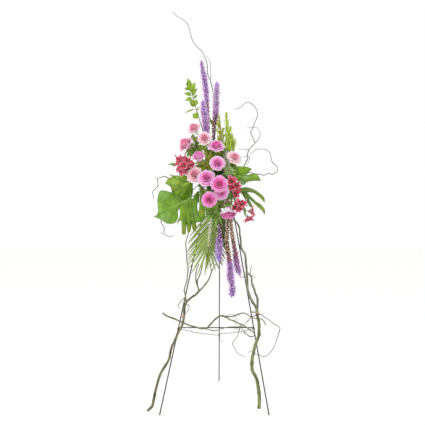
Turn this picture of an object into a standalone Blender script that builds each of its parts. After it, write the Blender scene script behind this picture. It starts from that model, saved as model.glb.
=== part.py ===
# A standing funeral spray: roses, liatris, alstroemeria and foliage in a block of floral foam,
# clipped to a folding three-legged wire easel that is dressed with willow branches.
# Units are metres, +Z is up, the photograph looks along +Y, and the floor is z = 0.

import math
import random

import bmesh
import bpy
from mathutils import Matrix, Vector
from mathutils.geometry import delaunay_2d_cdt

# How the photograph sees the spray. Columns and rows are pixels of its 425 x 425 frame.
PIXEL = 0.005  # metres that one pixel covers in the plane of the two front feet
MIDDLE_COLUMN = 219.0
FLOOR_ROW = 415.0
EYE = Vector((-0.0325, -3.02, 1.0125))  # where the photograph was taken from
CENTRE_SHIFT = Vector((-0.0275, 0.2575, 0.0))  # puts the middle of the part's box over the origin

# The easel
WIRE_RADIUS = 0.003
LEFT_FOOT_X = -0.297
RIGHT_FOOT_X = 0.250
LEFT_SLOPE = 0.2143  # sideways run of a front leg for each metre of height
RIGHT_SLOPE = -0.1696
LEAN = 0.1812  # backward run of the front legs for each metre of height
LEG_TOP = 1.392
HINGE_HEIGHT = 1.370
TOP_BAR_RADIUS = 0.0025
EYE_RING_RADIUS = 0.0060
EYE_WIRE_RADIUS = 0.0027
REAR_FOOT_DEPTH = 0.62
CROSSBAR_HEIGHT = 0.4223
STAY_HEIGHT = 0.295
STAY_RADIUS = 0.0014
SEAT_GAP = 0.0003  # clearance between pieces that touch

# The floral foam and its tray
FOAM_WIDTH = 0.110
FOAM_DEPTH = 0.080
FOAM_HEIGHT = 0.230
FOAM_X = -0.004
FOAM_Z = 1.190
HOLE_DEPTH = 0.030
HOLE_SIDES = 4
TRAY_WALL = 0.003
TRAY_RIM = 0.014
HOLE_CLEARANCE = 0.0009  # room round a stem in its hole
CLIP_RADIUS = 0.0085
CLIP_LENGTH = 0.022
TIE_RADIUS = 0.0011

BLADE = 0.0011  # thickness of the larger leaves
THIN_BLADE = 0.0009  # thickness of small leaves and palm leaflets
PETAL = 0.0013  # thickness of a petal
ROSE_STEM = 0.0025  # radii of the stems
SPIKE_STEM = 0.0025
LEAF_STEM = 0.0024
LILY_STEM = 0.0020
LILY_STALK = 0.0014
RING_GAP = 0.012  # between one ring of florets or bracts and the next

random.seed(47)

for leftover in list(bpy.data.objects):
    bpy.data.objects.remove(leftover, do_unlink=True)


def finish(name, colour, roughness, metallic=0.0):
    # One Principled material; colour is linear red, green and blue.
    made = bpy.data.materials.new(name)
    made.use_nodes = True
    shader = made.node_tree.nodes["Principled BSDF"]
    shader.inputs["Base Color"].default_value = (*colour, 1.0)
    shader.inputs["Roughness"].default_value = roughness
    shader.inputs["Metallic"].default_value = metallic
    made.diffuse_color = (*colour, 1.0)
    return made


WIRE = finish("black painted wire", (0.045, 0.048, 0.055), 0.45, 0.3)
STRING = finish("brown string", (0.22, 0.17, 0.11), 0.9)
RAFFIA = finish("raffia", (0.45, 0.33, 0.16), 0.85)
FOAM = finish("wet floral foam", (0.03, 0.13, 0.05), 0.95)
TRAY = finish("green plastic", (0.02, 0.09, 0.04), 0.4)
BARK = finish("olive willow bark", (0.19, 0.17, 0.06), 0.8)
TWIG = finish("grey willow bark", (0.22, 0.21, 0.17), 0.8)
PINK = finish("pink rose petal", (0.82, 0.16, 0.45), 0.55)
PALE_PINK = finish("light pink rose petal", (0.90, 0.42, 0.50), 0.55)
STEM = finish("green stem", (0.12, 0.22, 0.04), 0.6)
LEAF = finish("green leaf", (0.14, 0.32, 0.05), 0.45)
PALM = finish("palm leaflet", (0.20, 0.30, 0.06), 0.5)
LIME = finish("lime spike", (0.35, 0.52, 0.05), 0.6)
CRIMSON = finish("crimson petal", (0.50, 0.05, 0.09), 0.55)
VIOLET = finish("violet floret", (0.34, 0.17, 0.55), 0.7)


def seen(column, row, depth):
    # The point this far behind the front feet that the photograph shows at a column and row.
    across = (column - MIDDLE_COLUMN) * PIXEL
    height = (FLOOR_ROW - row) * PIXEL
    reach = (depth - EYE.y) / -EYE.y
    x = EYE.x + (across - EYE.x) * reach
    z = EYE.z + (height - EYE.z) * reach
    return Vector((x, depth, z)) - CENTRE_SHIFT


def on_frame(x, z, back=0.0):
    # A point in the plane of the front legs, or this far behind it.
    return Vector((x, z * LEAN + back, z)) - CENTRE_SHIFT


def left_leg(z, back=0.0):
    return on_frame(LEFT_FOOT_X + LEFT_SLOPE * z, z, back)


def right_leg(z, back=0.0):
    return on_frame(RIGHT_FOOT_X + RIGHT_SLOPE * z, z, back)


def shape(bm, material):
    # An unlinked object from a bmesh, with its faces pointing out.
    bmesh.ops.recalc_face_normals(bm, faces=bm.faces)
    mesh = bpy.data.meshes.new("shape")
    bm.to_mesh(mesh)
    bm.free()
    mesh.materials.append(material)
    return bpy.data.objects.new("shape", mesh)


def keep(name, made):
    # Names an object, shades its round sides smooth and puts it in the scene.
    made.name = name
    made.data.name = name
    made.data.shade_smooth()
    made.data.set_sharp_from_angle(angle=math.radians(40))
    bpy.context.scene.collection.objects.link(made)
    return made


def fuse(name, shapes, solver="EXACT", operation="UNION"):
    # Joins closed shapes into one solid, or cuts the later ones from the first.
    group = bpy.data.collections.new(name + " shapes")
    for extra in shapes[1:]:
        group.objects.link(extra)
    whole = shapes[0]
    bpy.context.scene.collection.objects.link(whole)
    bpy.context.scene.collection.children.link(group)
    join = whole.modifiers.new("join", "BOOLEAN")
    join.operation = operation
    join.operand_type = "COLLECTION"
    join.collection = group
    join.solver = solver
    if solver == "EXACT":
        join.material_mode = "TRANSFER"
    settled = whole.evaluated_get(bpy.context.evaluated_depsgraph_get())
    mesh = bpy.data.meshes.new_from_object(settled)
    for used in shapes:
        bpy.data.objects.remove(used, do_unlink=True)
    bpy.data.collections.remove(group)
    return keep(name, bpy.data.objects.new(name, mesh))


def tube(points, radii, sides, material, spikes=None):
    # A round bar along a path, its sections turned as little as possible from one to the next.
    # Where spikes is above 0, every second corner stands out by that share of the radius.
    points = [Vector(point) for point in points]
    if isinstance(radii, float):
        radii = [radii] * len(points)
    if spikes is None:
        spikes = [0.0] * len(points)
    bm = bmesh.new()
    side = None
    rings = []
    for index, point in enumerate(points):
        before = points[max(index - 1, 0)]
        after = points[min(index + 1, len(points) - 1)]
        along = (after - before).normalized()
        if side is None:
            side = along.orthogonal()
        side = (side - along * side.dot(along)).normalized()
        other = along.cross(side)
        ring = []
        for step in range(sides):
            turn = 2 * math.pi * step / sides
            offset = side * math.cos(turn) + other * math.sin(turn)
            stand = spikes[index]
            if stand > 0.0:
                stand *= random.uniform(0.8, 1.2)
                if (step + index) % 2:
                    stand *= -1.0
                offset += along * stand * 0.8
            offset *= radii[index]
            ring.append(bm.verts.new(point + offset + offset.normalized() * radii[index] * stand))
        rings.append(ring)
    for lower, upper in zip(rings, rings[1:]):
        for step in range(sides):
            following = (step + 1) % sides
            bm.faces.new((lower[step], lower[following], upper[following], upper[step]))
    bm.faces.new(rings[0][::-1])
    bm.faces.new(rings[-1])
    return shape(bm, material)


def sheet(points, triangles, thickness, material):
    # A thin closed blade: the same triangles on both faces, and a rim round the open edge.
    points = [Vector(point) for point in points]
    normals = [Vector() for _ in points]
    for a, b, c in triangles:
        slant = (points[b] - points[a]).cross(points[c] - points[a])
        for corner in (a, b, c):
            normals[corner] += slant
    bm = bmesh.new()
    half = thickness / 2
    front = [bm.verts.new(p + n.normalized() * half) for p, n in zip(points, normals)]
    back = [bm.verts.new(p - n.normalized() * half) for p, n in zip(points, normals)]
    edges = {}
    for a, b, c in triangles:
        bm.faces.new((front[a], front[b], front[c]))
        bm.faces.new((back[c], back[b], back[a]))
        for start, end in ((a, b), (b, c), (c, a)):
            edges[(start, end)] = True
    for start, end in edges:
        if (end, start) not in edges:
            bm.faces.new((front[start], back[start], back[end]))
            bm.faces.new((front[start], back[end], front[end]))
    return shape(bm, material)


def outline_sheet(outline, rib, depth_at, thickness, material):
    # A blade cut to an outline of photo points and folded along its rib.
    flat = [Vector(point) for point in outline + rib]
    count = len(outline)
    edges = [(step, (step + 1) % count) for step in range(count)]
    edges += [(step, step + 1) for step in range(count, len(flat) - 1)]
    made = delaunay_2d_cdt(flat, edges, [], 1, 1e-5)
    points = [seen(point.x, point.y, depth_at(point.x, point.y)) for point in made[0]]
    triangles = [tuple(face) for face in made[2]]
    return sheet(points, triangles, thickness, material)


def kite(base, tip, width, lift, thickness, material):
    # A small pointed blade from base to tip, its middle raised along lift.
    base = Vector(base)
    tip = Vector(tip)
    along = tip - base
    side = along.cross(lift).normalized() * width / 2
    middle = base + along * 0.55
    points = [base - side * 0.35, base + side * 0.35, middle - side, middle + lift, middle + side, tip]
    triangles = [(0, 1, 3), (0, 3, 2), (1, 4, 3), (2, 3, 5), (3, 4, 5)]
    return sheet(points, triangles, thickness, material)


def turned(profile, sides, place, material, star=None):
    # A solid of revolution about its own Z; profile is radius and height from bottom to top.
    # The ring numbered star is drawn out and in by turns, as a pointed collar.
    bm = bmesh.new()
    rings = []
    for index, (radius, height) in enumerate(profile):
        ring = []
        for step in range(sides):
            turn = 2 * math.pi * step / sides
            wide = radius
            if index == star:
                wide *= 0.72 if step % 2 else 1.75
            spot = Vector((wide * math.cos(turn), wide * math.sin(turn), height))
            ring.append(bm.verts.new(place @ spot))
        rings.append(ring)
    for lower, upper in zip(rings, rings[1:]):
        for step in range(sides):
            following = (step + 1) % sides
            bm.faces.new((lower[step], lower[following], upper[following], upper[step]))
    bm.faces.new(rings[0][::-1])
    bm.faces.new(rings[-1])
    return shape(bm, material)


def corolla(place, radius, petals, reach, material):
    # One funnel of joined petals: a deep centre, low points between petals, shoulders and tips.
    points = [place @ Vector((0, 0, -reach * radius))]
    triangles = []
    for index in range(petals):
        turn = 2 * math.pi * index / petals
        half = math.pi / petals
        for out, angle, height in ((0.34, turn - half, -0.30), (0.76, turn - half * 0.66, 0.0),
                                   (1.04, turn, 0.06), (0.76, turn + half * 0.66, 0.0)):
            spot = Vector((out * math.cos(angle), out * math.sin(angle), height)) * radius
            points.append(place @ spot)
        a = 1 + 4 * index
        after = 1 + 4 * ((index + 1) % petals)
        triangles += [(0, a, after), (a, a + 1, a + 3), (a, a + 3, after), (a + 1, a + 2, a + 3)]
    return sheet(points, triangles, PETAL, material)


def facing(centre, direction, roll=0.0):
    # A placement whose own +Z looks along a direction.
    turn = Vector(direction).normalized().to_track_quat("Z", "Y")
    return Matrix.Translation(centre) @ turn.to_matrix().to_4x4() @ Matrix.Rotation(roll, 4, "Z")


def curve(start, leaving, end, arriving, steps):
    # Points on a cubic curve that leaves along one vector and arrives along another.
    first = start + leaving
    second = end - arriving
    points = []
    for step in range(steps + 1):
        t = step / steps
        s = 1 - t
        points.append(start * s**3 + first * 3 * s * s * t + second * 3 * s * t * t + end * t**3)
    return points


# The easel: two front legs, a top bar between them, a crossbar, and a rear leg hung on the top bar.
def floor_leg(top, foot, floor):
    # A wire leg cut level where it meets the floor.
    beyond = (foot - top).normalized() * 0.02
    made = tube([foot + beyond, top], WIRE_RADIUS, 8, WIRE)
    bm = bmesh.new()
    bm.from_mesh(made.data)
    bpy.data.objects.remove(made, do_unlink=True)
    everything = bm.verts[:] + bm.edges[:] + bm.faces[:]
    cut = bmesh.ops.bisect_plane(
        bm, geom=everything, plane_co=(0, 0, floor), plane_no=(0, 0, 1), clear_inner=True
    )
    edges = [item for item in cut["geom_cut"] if isinstance(item, bmesh.types.BMEdge)]
    bmesh.ops.contextual_create(bm, geom=edges)
    return shape(bm, WIRE)


def make_easel():
    keep("front_leg_left", floor_leg(left_leg(LEG_TOP), left_leg(0.0), 0.0))
    keep("front_leg_right", floor_leg(right_leg(LEG_TOP), right_leg(0.0), 0.0))
    inset = Vector((WIRE_RADIUS * 1.15 + SEAT_GAP, 0.0, 0.0))
    left_end = left_leg(CROSSBAR_HEIGHT) + inset
    right_end = right_leg(CROSSBAR_HEIGHT) - inset
    keep("crossbar", tube([left_end, right_end], WIRE_RADIUS * 0.85, 8, WIRE))
    left_end = left_leg(HINGE_HEIGHT) + inset
    right_end = right_leg(HINGE_HEIGHT) - inset
    keep("top_bar", tube([left_end, right_end], TOP_BAR_RADIUS, 10, WIRE))
    make_rear_leg((left_end + right_end) / 2)


def make_rear_leg(hinge):
    # The rear leg's eye turns on the top bar, so the leg's origin lies on that bar's axis.
    ring = []
    for step in range(12):
        turn = 2 * math.pi * step / 12
        ring.append(Vector((0.0, math.cos(turn), math.sin(turn))) * EYE_RING_RADIUS)
    bm = bmesh.new()
    loops = []
    for middle in ring:
        outward = middle.normalized()
        loop = []
        for step in range(6):
            turn = 2 * math.pi * step / 6
            offset = outward * math.cos(turn) + Vector((1, 0, 0)) * math.sin(turn)
            loop.append(bm.verts.new(middle + offset * EYE_WIRE_RADIUS))
        loops.append(loop)
    for index, loop in enumerate(loops):
        following = loops[(index + 1) % len(loops)]
        for step in range(6):
            after = (step + 1) % 6
            bm.faces.new((loop[step], loop[after], following[after], following[step]))
    eye = shape(bm, WIRE)
    foot = rear_point(hinge, 0.0) - hinge
    leg = floor_leg(foot.normalized() * EYE_RING_RADIUS, foot, -hinge.z)
    made = fuse("rear_leg", [eye, leg])
    made.location = hinge
    make_stay(hinge)


def rear_point(hinge, z):
    # A point on the rear leg's middle line at this height.
    foot_y = REAR_FOOT_DEPTH - CENTRE_SHIFT.y
    share = (hinge.z - z) / hinge.z
    return Vector((hinge.x, hinge.y + (foot_y - hinge.y) * share, z))


def make_stay(hinge):
    # The string that keeps the legs from spreading: tied at both front legs, looped round the rear.
    knot = rear_point(hinge, STAY_HEIGHT)
    gap = (WIRE_RADIUS + STAY_RADIUS + SEAT_GAP * 2) * 1.07
    loop = []
    for step in range(9):
        turn = math.radians(30 + 300 * step / 8)
        middle = rear_point(hinge, knot.z + 0.0012 * (step - 4))
        loop.append(middle + Vector((-math.sin(turn), -math.cos(turn), 0.0)) * gap)
    arms = []
    for leg, end in ((left_leg, loop[0]), (right_leg, loop[-1])):
        seat = leg(CROSSBAR_HEIGHT - 0.006, WIRE_RADIUS + STAY_RADIUS + SEAT_GAP * 2)
        middle = seat.lerp(end, 0.5) - Vector((0.0, 0.0, 0.006))
        arms.append([seat, middle, end])
    left, right = arms
    path = left[:2] + loop + right[:2][::-1]
    tail = [loop[4], loop[4] + Vector((0.004, 0.004, -0.012)), loop[4] + Vector((0.012, 0.006, -0.02))]
    shapes = [tube(path, STAY_RADIUS, 4, STRING), tube(tail, STAY_RADIUS * 0.9, 4, STRING)]
    fuse("stay_cord", shapes)


# The foam block leans with the front legs. Stems stand in plain holes in its faces.
def foam_place():
    offset = WIRE_RADIUS + SEAT_GAP + TRAY_WALL + SEAT_GAP + FOAM_DEPTH / 2
    centre = on_frame(FOAM_X, FOAM_Z)
    turn = Matrix.Rotation(-math.atan(LEAN), 4, "X")
    return Matrix.Translation(centre) @ turn @ Matrix.Translation((0, -offset, 0))


FOAM_PLACE = foam_place()
HOLES = []


def hole(face, across, up, stem_radius):
    # Books a hole in a face of the foam; gives its mouth and the way in.
    half = Vector((FOAM_WIDTH, FOAM_DEPTH, FOAM_HEIGHT)) / 2
    faces = {
        "front": (Vector((across, -half.y, up)), Vector((0, 1, 0))),
        "top": (Vector((across, up, half.z)), Vector((0, 0, -1))),
        "bottom": (Vector((across, up, -half.z)), Vector((0, 0, 1))),
        "left": (Vector((-half.x, across, up)), Vector((1, 0, 0))),
        "right": (Vector((half.x, across, up)), Vector((-1, 0, 0))),
    }
    mouth, inward = faces[face]
    HOLES.append((mouth, inward, stem_radius))
    turn = FOAM_PLACE.to_3x3()
    return FOAM_PLACE @ mouth, turn @ inward


def into_foam(start, leaving, face, across, up, radius, sides=4, steps=4, pull=0.03):
    # A stem from a start point to the bottom of its hole in the foam.
    mouth, inward = hole(face, across, up, radius)
    points = curve(start, leaving, mouth, inward * pull, steps)
    points.append(mouth + inward * (HOLE_DEPTH - SEAT_GAP))
    return tube(points, radius, sides, STEM)


def block(low, high, place, material):
    bm = bmesh.new()
    bmesh.ops.create_cube(bm, size=1.0)
    size = Vector(high) - Vector(low)
    middle = (Vector(high) + Vector(low)) / 2
    sizing = Matrix.Diagonal((*size, 1.0))
    bmesh.ops.transform(bm, matrix=place @ Matrix.Translation(middle) @ sizing, verts=bm.verts)
    return shape(bm, material)


def make_foam():
    half = Vector((FOAM_WIDTH, FOAM_DEPTH, FOAM_HEIGHT)) / 2
    cutters = [block(-half, half, FOAM_PLACE, FOAM)]
    for mouth, inward, radius in HOLES:
        wide = (radius + HOLE_CLEARANCE) / math.cos(math.pi / HOLE_SIDES)
        ends = [FOAM_PLACE @ (mouth - inward * 0.01), FOAM_PLACE @ (mouth + inward * HOLE_DEPTH)]
        cutters.append(tube(ends, wide, HOLE_SIDES, FOAM))
    fuse("foam_block", cutters, operation="DIFFERENCE")


def make_tray():
    # A plastic back with a low rim round the foam and a snap socket on each front leg.
    x = FOAM_WIDTH / 2 + SEAT_GAP
    z = FOAM_HEIGHT / 2 + SEAT_GAP
    back = FOAM_DEPTH / 2 + SEAT_GAP
    outer = block((-x - TRAY_WALL, back - TRAY_RIM, -z - TRAY_WALL),
                  (x + TRAY_WALL, back + TRAY_WALL, z + TRAY_WALL), FOAM_PLACE, TRAY)
    sockets = []
    bores = [block((-x, back - TRAY_RIM - 0.01, -z), (x, back, z), FOAM_PLACE, TRAY)]
    for leg in (left_leg, right_leg):
        low = leg(FOAM_Z - 0.055)
        high = leg(FOAM_Z - 0.055 + CLIP_LENGTH)
        along = (high - low).normalized() * 0.01
        sockets.append(tube([low, high], CLIP_RADIUS, 8, TRAY))
        wide = (WIRE_RADIUS + SEAT_GAP) / math.cos(math.pi / 8)
        bores.append(tube([low - along, high + along], wide, 8, TRAY))
    solid = fuse("tray_solid", [outer] + sockets)
    bpy.context.scene.collection.objects.unlink(solid)
    fuse("foam_tray", [solid] + bores, operation="DIFFERENCE")


# Roses. Sizes inside a bloom are shares of its radius; its own +Z is the way it faces.
def rose_petal(place, radius, turn, spread, root, rim, low, high, lines, columns, material):
    # A narrow root, then lines of points out to the rim. Each petal winds outward, so
    # its edge passes over the next one without meeting it.
    def spot(out, angle, height):
        return place @ (Vector((out * math.cos(angle), out * math.sin(angle), height)) * radius)

    points = [spot(root, turn - 0.2, low), spot(root, turn + 0.2, low)]
    for line in range(1, lines + 1):
        v = line / lines
        for column in range(columns):
            step = 2 * column / (columns - 1) - 1
            angle = turn + step * spread * (0.7 + 0.3 * v)
            out = root + (rim - root) * v**1.3 + 0.05 * step
            height = low + (high - low) * v - 0.16 * v * step * step
            points.append(spot(out, angle, height))
    middle = 1 + columns // 2
    triangles = [(0, middle + 1, middle), (0, 1, middle + 1)]
    for a in range(2, middle):
        triangles.append((0, a + 1, a))
    for a in range(middle + 1, columns + 1):
        triangles.append((1, a + 1, a))
    for line in range(lines - 1):
        for column in range(columns - 1):
            a = 2 + line * columns + column
            triangles.append((a, a + 1, a + columns + 1))
            triangles.append((a, a + columns + 1, a + columns))
    return sheet(points, triangles, PETAL, material)


# The receptacle with its sepals as a three-pointed collar, and the closed heart of the bud
ROSE_CORE = ((0.13, -1.04), (0.44, -0.92), (0.48, -0.48), (0.06, 0.42))


def rose(name, column, row, depth, radius, direction, material, face, across, up):
    place = facing(seen(column, row, depth), direction, random.uniform(0, 2 * math.pi))
    profile = [(wide * radius, height * radius) for wide, height in ROSE_CORE]
    shapes = [turned(profile, 6, place, material, star=1)]
    for index in range(3):
        petal = (math.radians(120 * index), math.radians(60), 0.32, 0.52, -0.24, 0.42, 1, 3)
        shapes.append(rose_petal(place, radius, *petal, material))
    for index in range(4):
        turn = math.radians(90 * index + 35) + random.uniform(-0.1, 0.1)
        rim = random.uniform(0.92, 1.0)
        height = random.uniform(0.02, 0.2)
        petal = (turn, math.radians(44), 0.40, rim, -0.70, height, 2, 4)
        shapes.append(rose_petal(place, radius, *petal, material))
    axis = (place.to_3x3() @ Vector((0, 0, 1))).normalized()
    start = place @ Vector((0, 0, -0.90 * radius))
    shapes.append(into_foam(start, axis * -0.045, face, across, up, ROSE_STEM, steps=3))
    fuse(name, shapes)


# column, row, depth, radius, the way it faces, finish, and its hole in the foam
ROSES = {
    "rose_1": (193.0, 127.6, 0.030, 0.030, (-0.45, -0.55, 0.70), PALE_PINK, "top", -0.046, -0.020),
    "rose_2": (204.4, 137.6, 0.000, 0.030, (-0.10, -0.90, 0.40), PALE_PINK, "top", -0.026, -0.026),
    "rose_3": (185.6, 143.8, 0.020, 0.032, (-0.72, -0.30, 0.62), PINK, "left", -0.024, 0.060),
    "rose_4": (216.3, 146.6, 0.000, 0.036, (0.05, -0.60, 0.80), PINK, "front", 0.008, 0.076),
    "rose_5": (198.4, 156.4, 0.000, 0.031, (-0.10, -0.55, 0.83), PINK, "front", -0.030, 0.076),
    "rose_6": (217.5, 163.0, -0.030, 0.036, (0.05, -0.85, 0.50), PINK, "front", 0.016, 0.050),
    "rose_7": (235.0, 158.2, 0.000, 0.034, (0.50, -0.55, 0.67), PALE_PINK, "front", 0.044, 0.074),
    "rose_8": (194.5, 174.8, 0.020, 0.036, (-0.30, -0.92, 0.20), PALE_PINK, "front", -0.044, 0.036),
    "rose_9": (206.6, 177.6, -0.030, 0.043, (-0.12, -0.92, 0.36), PINK, "front", -0.014, 0.024),
    "rose_10": (219.6, 184.0, -0.082, 0.043, (0.05, -0.97, 0.22), PINK, "front", 0.016, 0.004),
    "rose_11": (222.2, 193.6, -0.012, 0.036, (0.25, -0.92, -0.20), PINK, "front", 0.034, -0.030),
    "rose_12": (209.2, 199.6, -0.055, 0.041, (-0.10, -0.97, 0.16), PINK, "front", -0.006, -0.048),
    "rose_13": (228.2, 213.0, -0.020, 0.035, (0.10, -0.52, -0.85), PALE_PINK, "front", 0.030, -0.078),
}


def make_roses():
    for name, values in ROSES.items():
        rose(name, *values)


# Flower spikes: one stem whose rings of florets or bracts stand out as relief.
def spike(name, path, radii, stand, hole_at, material):
    face, across, up = hole_at
    way = [seen(*spot) for spot in path]
    back = (way[0] - way[1]).normalized()
    mouth, inward = hole(face, across, up, SPIKE_STEM)
    stem = curve(mouth, -inward * 0.035, way[0], back * -0.03, 4)
    points = [mouth + inward * (HOLE_DEPTH - SEAT_GAP)] + stem[:-1]
    widths = [SPIKE_STEM] * len(points)
    spikes = [0.0] * len(points)
    for step in range(len(way) - 1):
        run = way[step + 1] - way[step]
        count = max(1, round(run.length / RING_GAP))
        for index in range(count):
            part = index / count
            points.append(way[step] + run * part)
            widths.append(radii[step] + (radii[step + 1] - radii[step]) * part)
            spikes.append(stand)
    points.append(way[-1])
    widths.append(radii[-1] * 0.5)
    spikes.append(0.0)
    keep(name, tube(points, widths, 6, material, spikes))


# path from the foam end to the tip as column, row and depth; radii; hole in the foam
LIATRIS = {
    "liatris_up_left": ([(208.6, 134, 0.150), (208.4, 119, 0.150), (207.2, 103, 0.150),
                         (206, 92, 0.150), (204.3, 78, 0.150), (201.4, 62.2, 0.150)],
                        (0.006, 0.007, 0.009, 0.012, 0.0115, 0.004), ("top", -0.022, 0.000)),
    "liatris_up_low": ([(206.0, 137, 0.132), (205.6, 125, 0.125), (204.3, 113, 0.122),
                        (203, 101.8, 0.122)],
                       (0.008, 0.013, 0.0125, 0.004), ("top", -0.037, 0.012)),
    "liatris_up_right": ([(213.5, 140, 0.140), (214.3, 127, 0.140), (215.6, 115, 0.140),
                          (216.2, 102, 0.140), (217.1, 83.9, 0.140)],
                         (0.007, 0.009, 0.011, 0.0125, 0.004), ("top", -0.005, 0.004)),
    "liatris_down_left": ([(219.9, 224, 0.070), (219.6, 233, 0.066), (219.1, 245, 0.062),
                           (219.2, 254, 0.060), (218.8, 261, 0.060)],
                          (0.006, 0.009, 0.013, 0.012, 0.004), ("bottom", -0.006, -0.012)),
    "liatris_down_middle": ([(224.9, 221, 0.070), (226.2, 238, 0.060), (228.1, 253, 0.052),
                             (229.8, 269, 0.048), (231.6, 282, 0.046), (231.9, 295.5, 0.046)],
                            (0.008, 0.011, 0.0105, 0.013, 0.0135, 0.004), ("bottom", 0.016, -0.008)),
    "liatris_down_right": ([(230.2, 220, 0.080), (232.0, 234, 0.074), (234.8, 250, 0.070),
                            (237.4, 264, 0.068), (239.2, 274.2, 0.068)],
                           (0.009, 0.011, 0.011, 0.012, 0.004), ("bottom", 0.038, -0.006)),
}

LIME_SPIKES = {
    "lime_spike_tall": ([(229.8, 145.0, 0.112), (229.0, 137.0, 0.108), (227.2, 127.0, 0.104),
                         (226.3, 111.4, 0.100)], (0.005, 0.009, 0.008, 0.003), ("top", 0.026, 0.006)),
    "lime_spike_left": ([(221.2, 141.0, 0.122), (220.2, 130.0, 0.120), (218.9, 114.8, 0.120)],
                        (0.005, 0.007, 0.003), ("top", 0.010, 0.014)),
    "lime_spike_right": ([(234.4, 145.0, 0.136), (233.4, 139.0, 0.132), (232.0, 131.0, 0.130)],
                         (0.005, 0.007, 0.003), ("top", 0.042, 0.012)),
}


def make_spikes():
    for name, (path, radii, hole_at) in LIATRIS.items():
        spike(name, path, radii, 0.34, hole_at, VIOLET)
    for name, (path, radii, hole_at) in LIME_SPIKES.items():
        spike(name, path, radii, 0.55, hole_at, LIME)


# Large split leaves, cut to the outlines that the photograph shows.
SPLIT_LEAVES = {
    "split_leaf_upper_left": {
        "outline": [(192.6, 181.6), (190.6, 177.0), (184.0, 175.2), (176.0, 175.6), (171.5, 174.9),
                    (168.0, 173.2), (172.4, 176.9), (168.0, 178.6), (166.7, 181.2), (165.0, 183.6),
                    (169.2, 185.6), (171.2, 188.6), (172.0, 192.6), (174.2, 192.6), (175.4, 189.2),
                    (177.2, 194.0), (180.4, 198.6), (183.4, 199.6), (184.3, 191.5), (185.4, 200.0),
                    (189.8, 199.2), (192.8, 193.0), (192.8, 187.0)],
        "rib": [(189.2, 182.6), (184.0, 184.6), (178.6, 187.2)],
        "depth": (0.112, 0.0009, 0.0002, 0.0012),
        "stem": ("left", 0.004, 0.044),
    },
    "split_leaf_large_left": {
        "outline": [(190.0, 197.6), (185.6, 200.4), (181.2, 199.4), (177.5, 195.6), (171.0, 192.3),
                    (164.0, 190.6), (160.0, 191.0), (157.9, 196.0), (157.4, 203.0), (158.1, 210.0),
                    (156.8, 214.8), (152.9, 216.6), (157.2, 218.0), (161.4, 219.9), (167.4, 223.6),
                    (173.2, 223.6), (176.4, 220.0), (178.6, 209.0), (179.6, 215.6), (176.8, 223.8),
                    (181.2, 219.6), (182.0, 226.0), (182.6, 234.2), (185.6, 234.2), (185.4, 226.0),
                    (185.4, 219.0), (187.0, 225.0), (188.4, 231.4), (190.8, 230.0), (190.6, 221.0),
                    (191.6, 220.4), (193.2, 226.0), (195.2, 231.4), (196.0, 227.0), (194.4, 222.4),
                    (200.0, 221.6), (203.8, 219.0), (203.6, 211.0), (201.6, 202.6), (200.0, 202.4),
                    (198.4, 211.4), (196.8, 203.6), (198.8, 197.0), (197.6, 190.6), (194.8, 194.4),
                    (192.8, 198.8)],
        "rib": [(186.4, 200.2), (181.0, 203.0), (174.9, 206.2), (166.0, 210.8), (158.6, 214.6)],
        "depth": (0.086, 0.0010, 0.0001, 0.0012),
        "stem": ("left", 0.004, -0.020),
    },
    "split_leaf_upper_right": {
        "outline": [(231.6, 177.2), (235.4, 170.0), (237.8, 166.4), (243.0, 166.7), (247.2, 166.9),
                    (252.4, 169.3), (249.6, 171.2), (247.6, 174.0), (246.4, 175.6), (250.0, 174.2),
                    (255.0, 174.0), (258.2, 175.8), (261.0, 181.0), (256.0, 180.7), (250.0, 181.3),
                    (246.4, 182.6), (245.0, 184.4), (241.8, 184.8), (239.0, 181.6), (235.0, 179.6)],
        "rib": [(235.6, 176.6), (240.4, 176.4), (247.0, 177.4), (254.0, 178.0)],
        "depth": (0.095, -0.0010, 0.0004, 0.0016),
        "stem": ("right", 0.004, 0.034),
    },
    "split_leaf_lower_right": {
        "outline": [(236.0, 187.2), (240.4, 187.8), (246.0, 187.2), (251.9, 188.6), (257.0, 191.2),
                    (261.2, 194.2), (264.4, 198.0), (264.6, 202.8), (261.8, 199.6), (257.8, 195.8),
                    (253.0, 192.8), (247.0, 192.2), (251.0, 196.6), (256.0, 201.4), (260.6, 204.2),
                    (264.8, 209.4), (264.7, 215.0), (262.0, 210.8), (257.6, 206.6), (253.0, 202.4),
                    (248.6, 198.2), (251.4, 203.6), (253.6, 208.0), (249.8, 206.6), (247.4, 202.4),
                    (244.6, 198.4), (241.6, 193.6), (238.4, 190.4)],
        "rib": [(240.2, 189.6), (244.6, 190.6)],
        "depth": (0.110, -0.0012, 0.0002, 0.0016),
        "stem": ("right", 0.004, -0.012),
    },
}


def distance_to_line(column, row, line):
    # Shortest distance in pixels from a photo point to a chain of photo points.
    spot = Vector((column, row))
    best = 1e9
    for start, end in zip(line, line[1:]):
        start = Vector(start)
        run = Vector(end) - start
        share = max(0.0, min(1.0, (spot - start).dot(run) / run.length_squared))
        best = min(best, (spot - start - run * share).length)
    return best


def make_split_leaves():
    for name, leaf in SPLIT_LEAVES.items():
        outline = leaf["outline"]
        rib = leaf["rib"]
        base, across, down, fold = leaf["depth"]
        start_column, start_row = outline[0]

        def depth_at(column, row):
            lean = base + across * (column - start_column) + down * (row - start_row)
            return lean + fold * distance_to_line(column, row, [outline[0]] + rib)

        blade = outline_sheet(outline, rib, depth_at, BLADE, LEAF)
        near = Vector(outline[0]).lerp(Vector(rib[0]), 0.7)
        start = seen(near.x, near.y, depth_at(near.x, near.y))
        ahead = seen(*outline[0], depth_at(*outline[0])) - start
        face, depth, up = leaf["stem"]
        stem = into_foam(start, ahead.normalized() * 0.03, face, depth, up, LEAF_STEM)
        fuse(name, [blade, stem])


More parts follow.
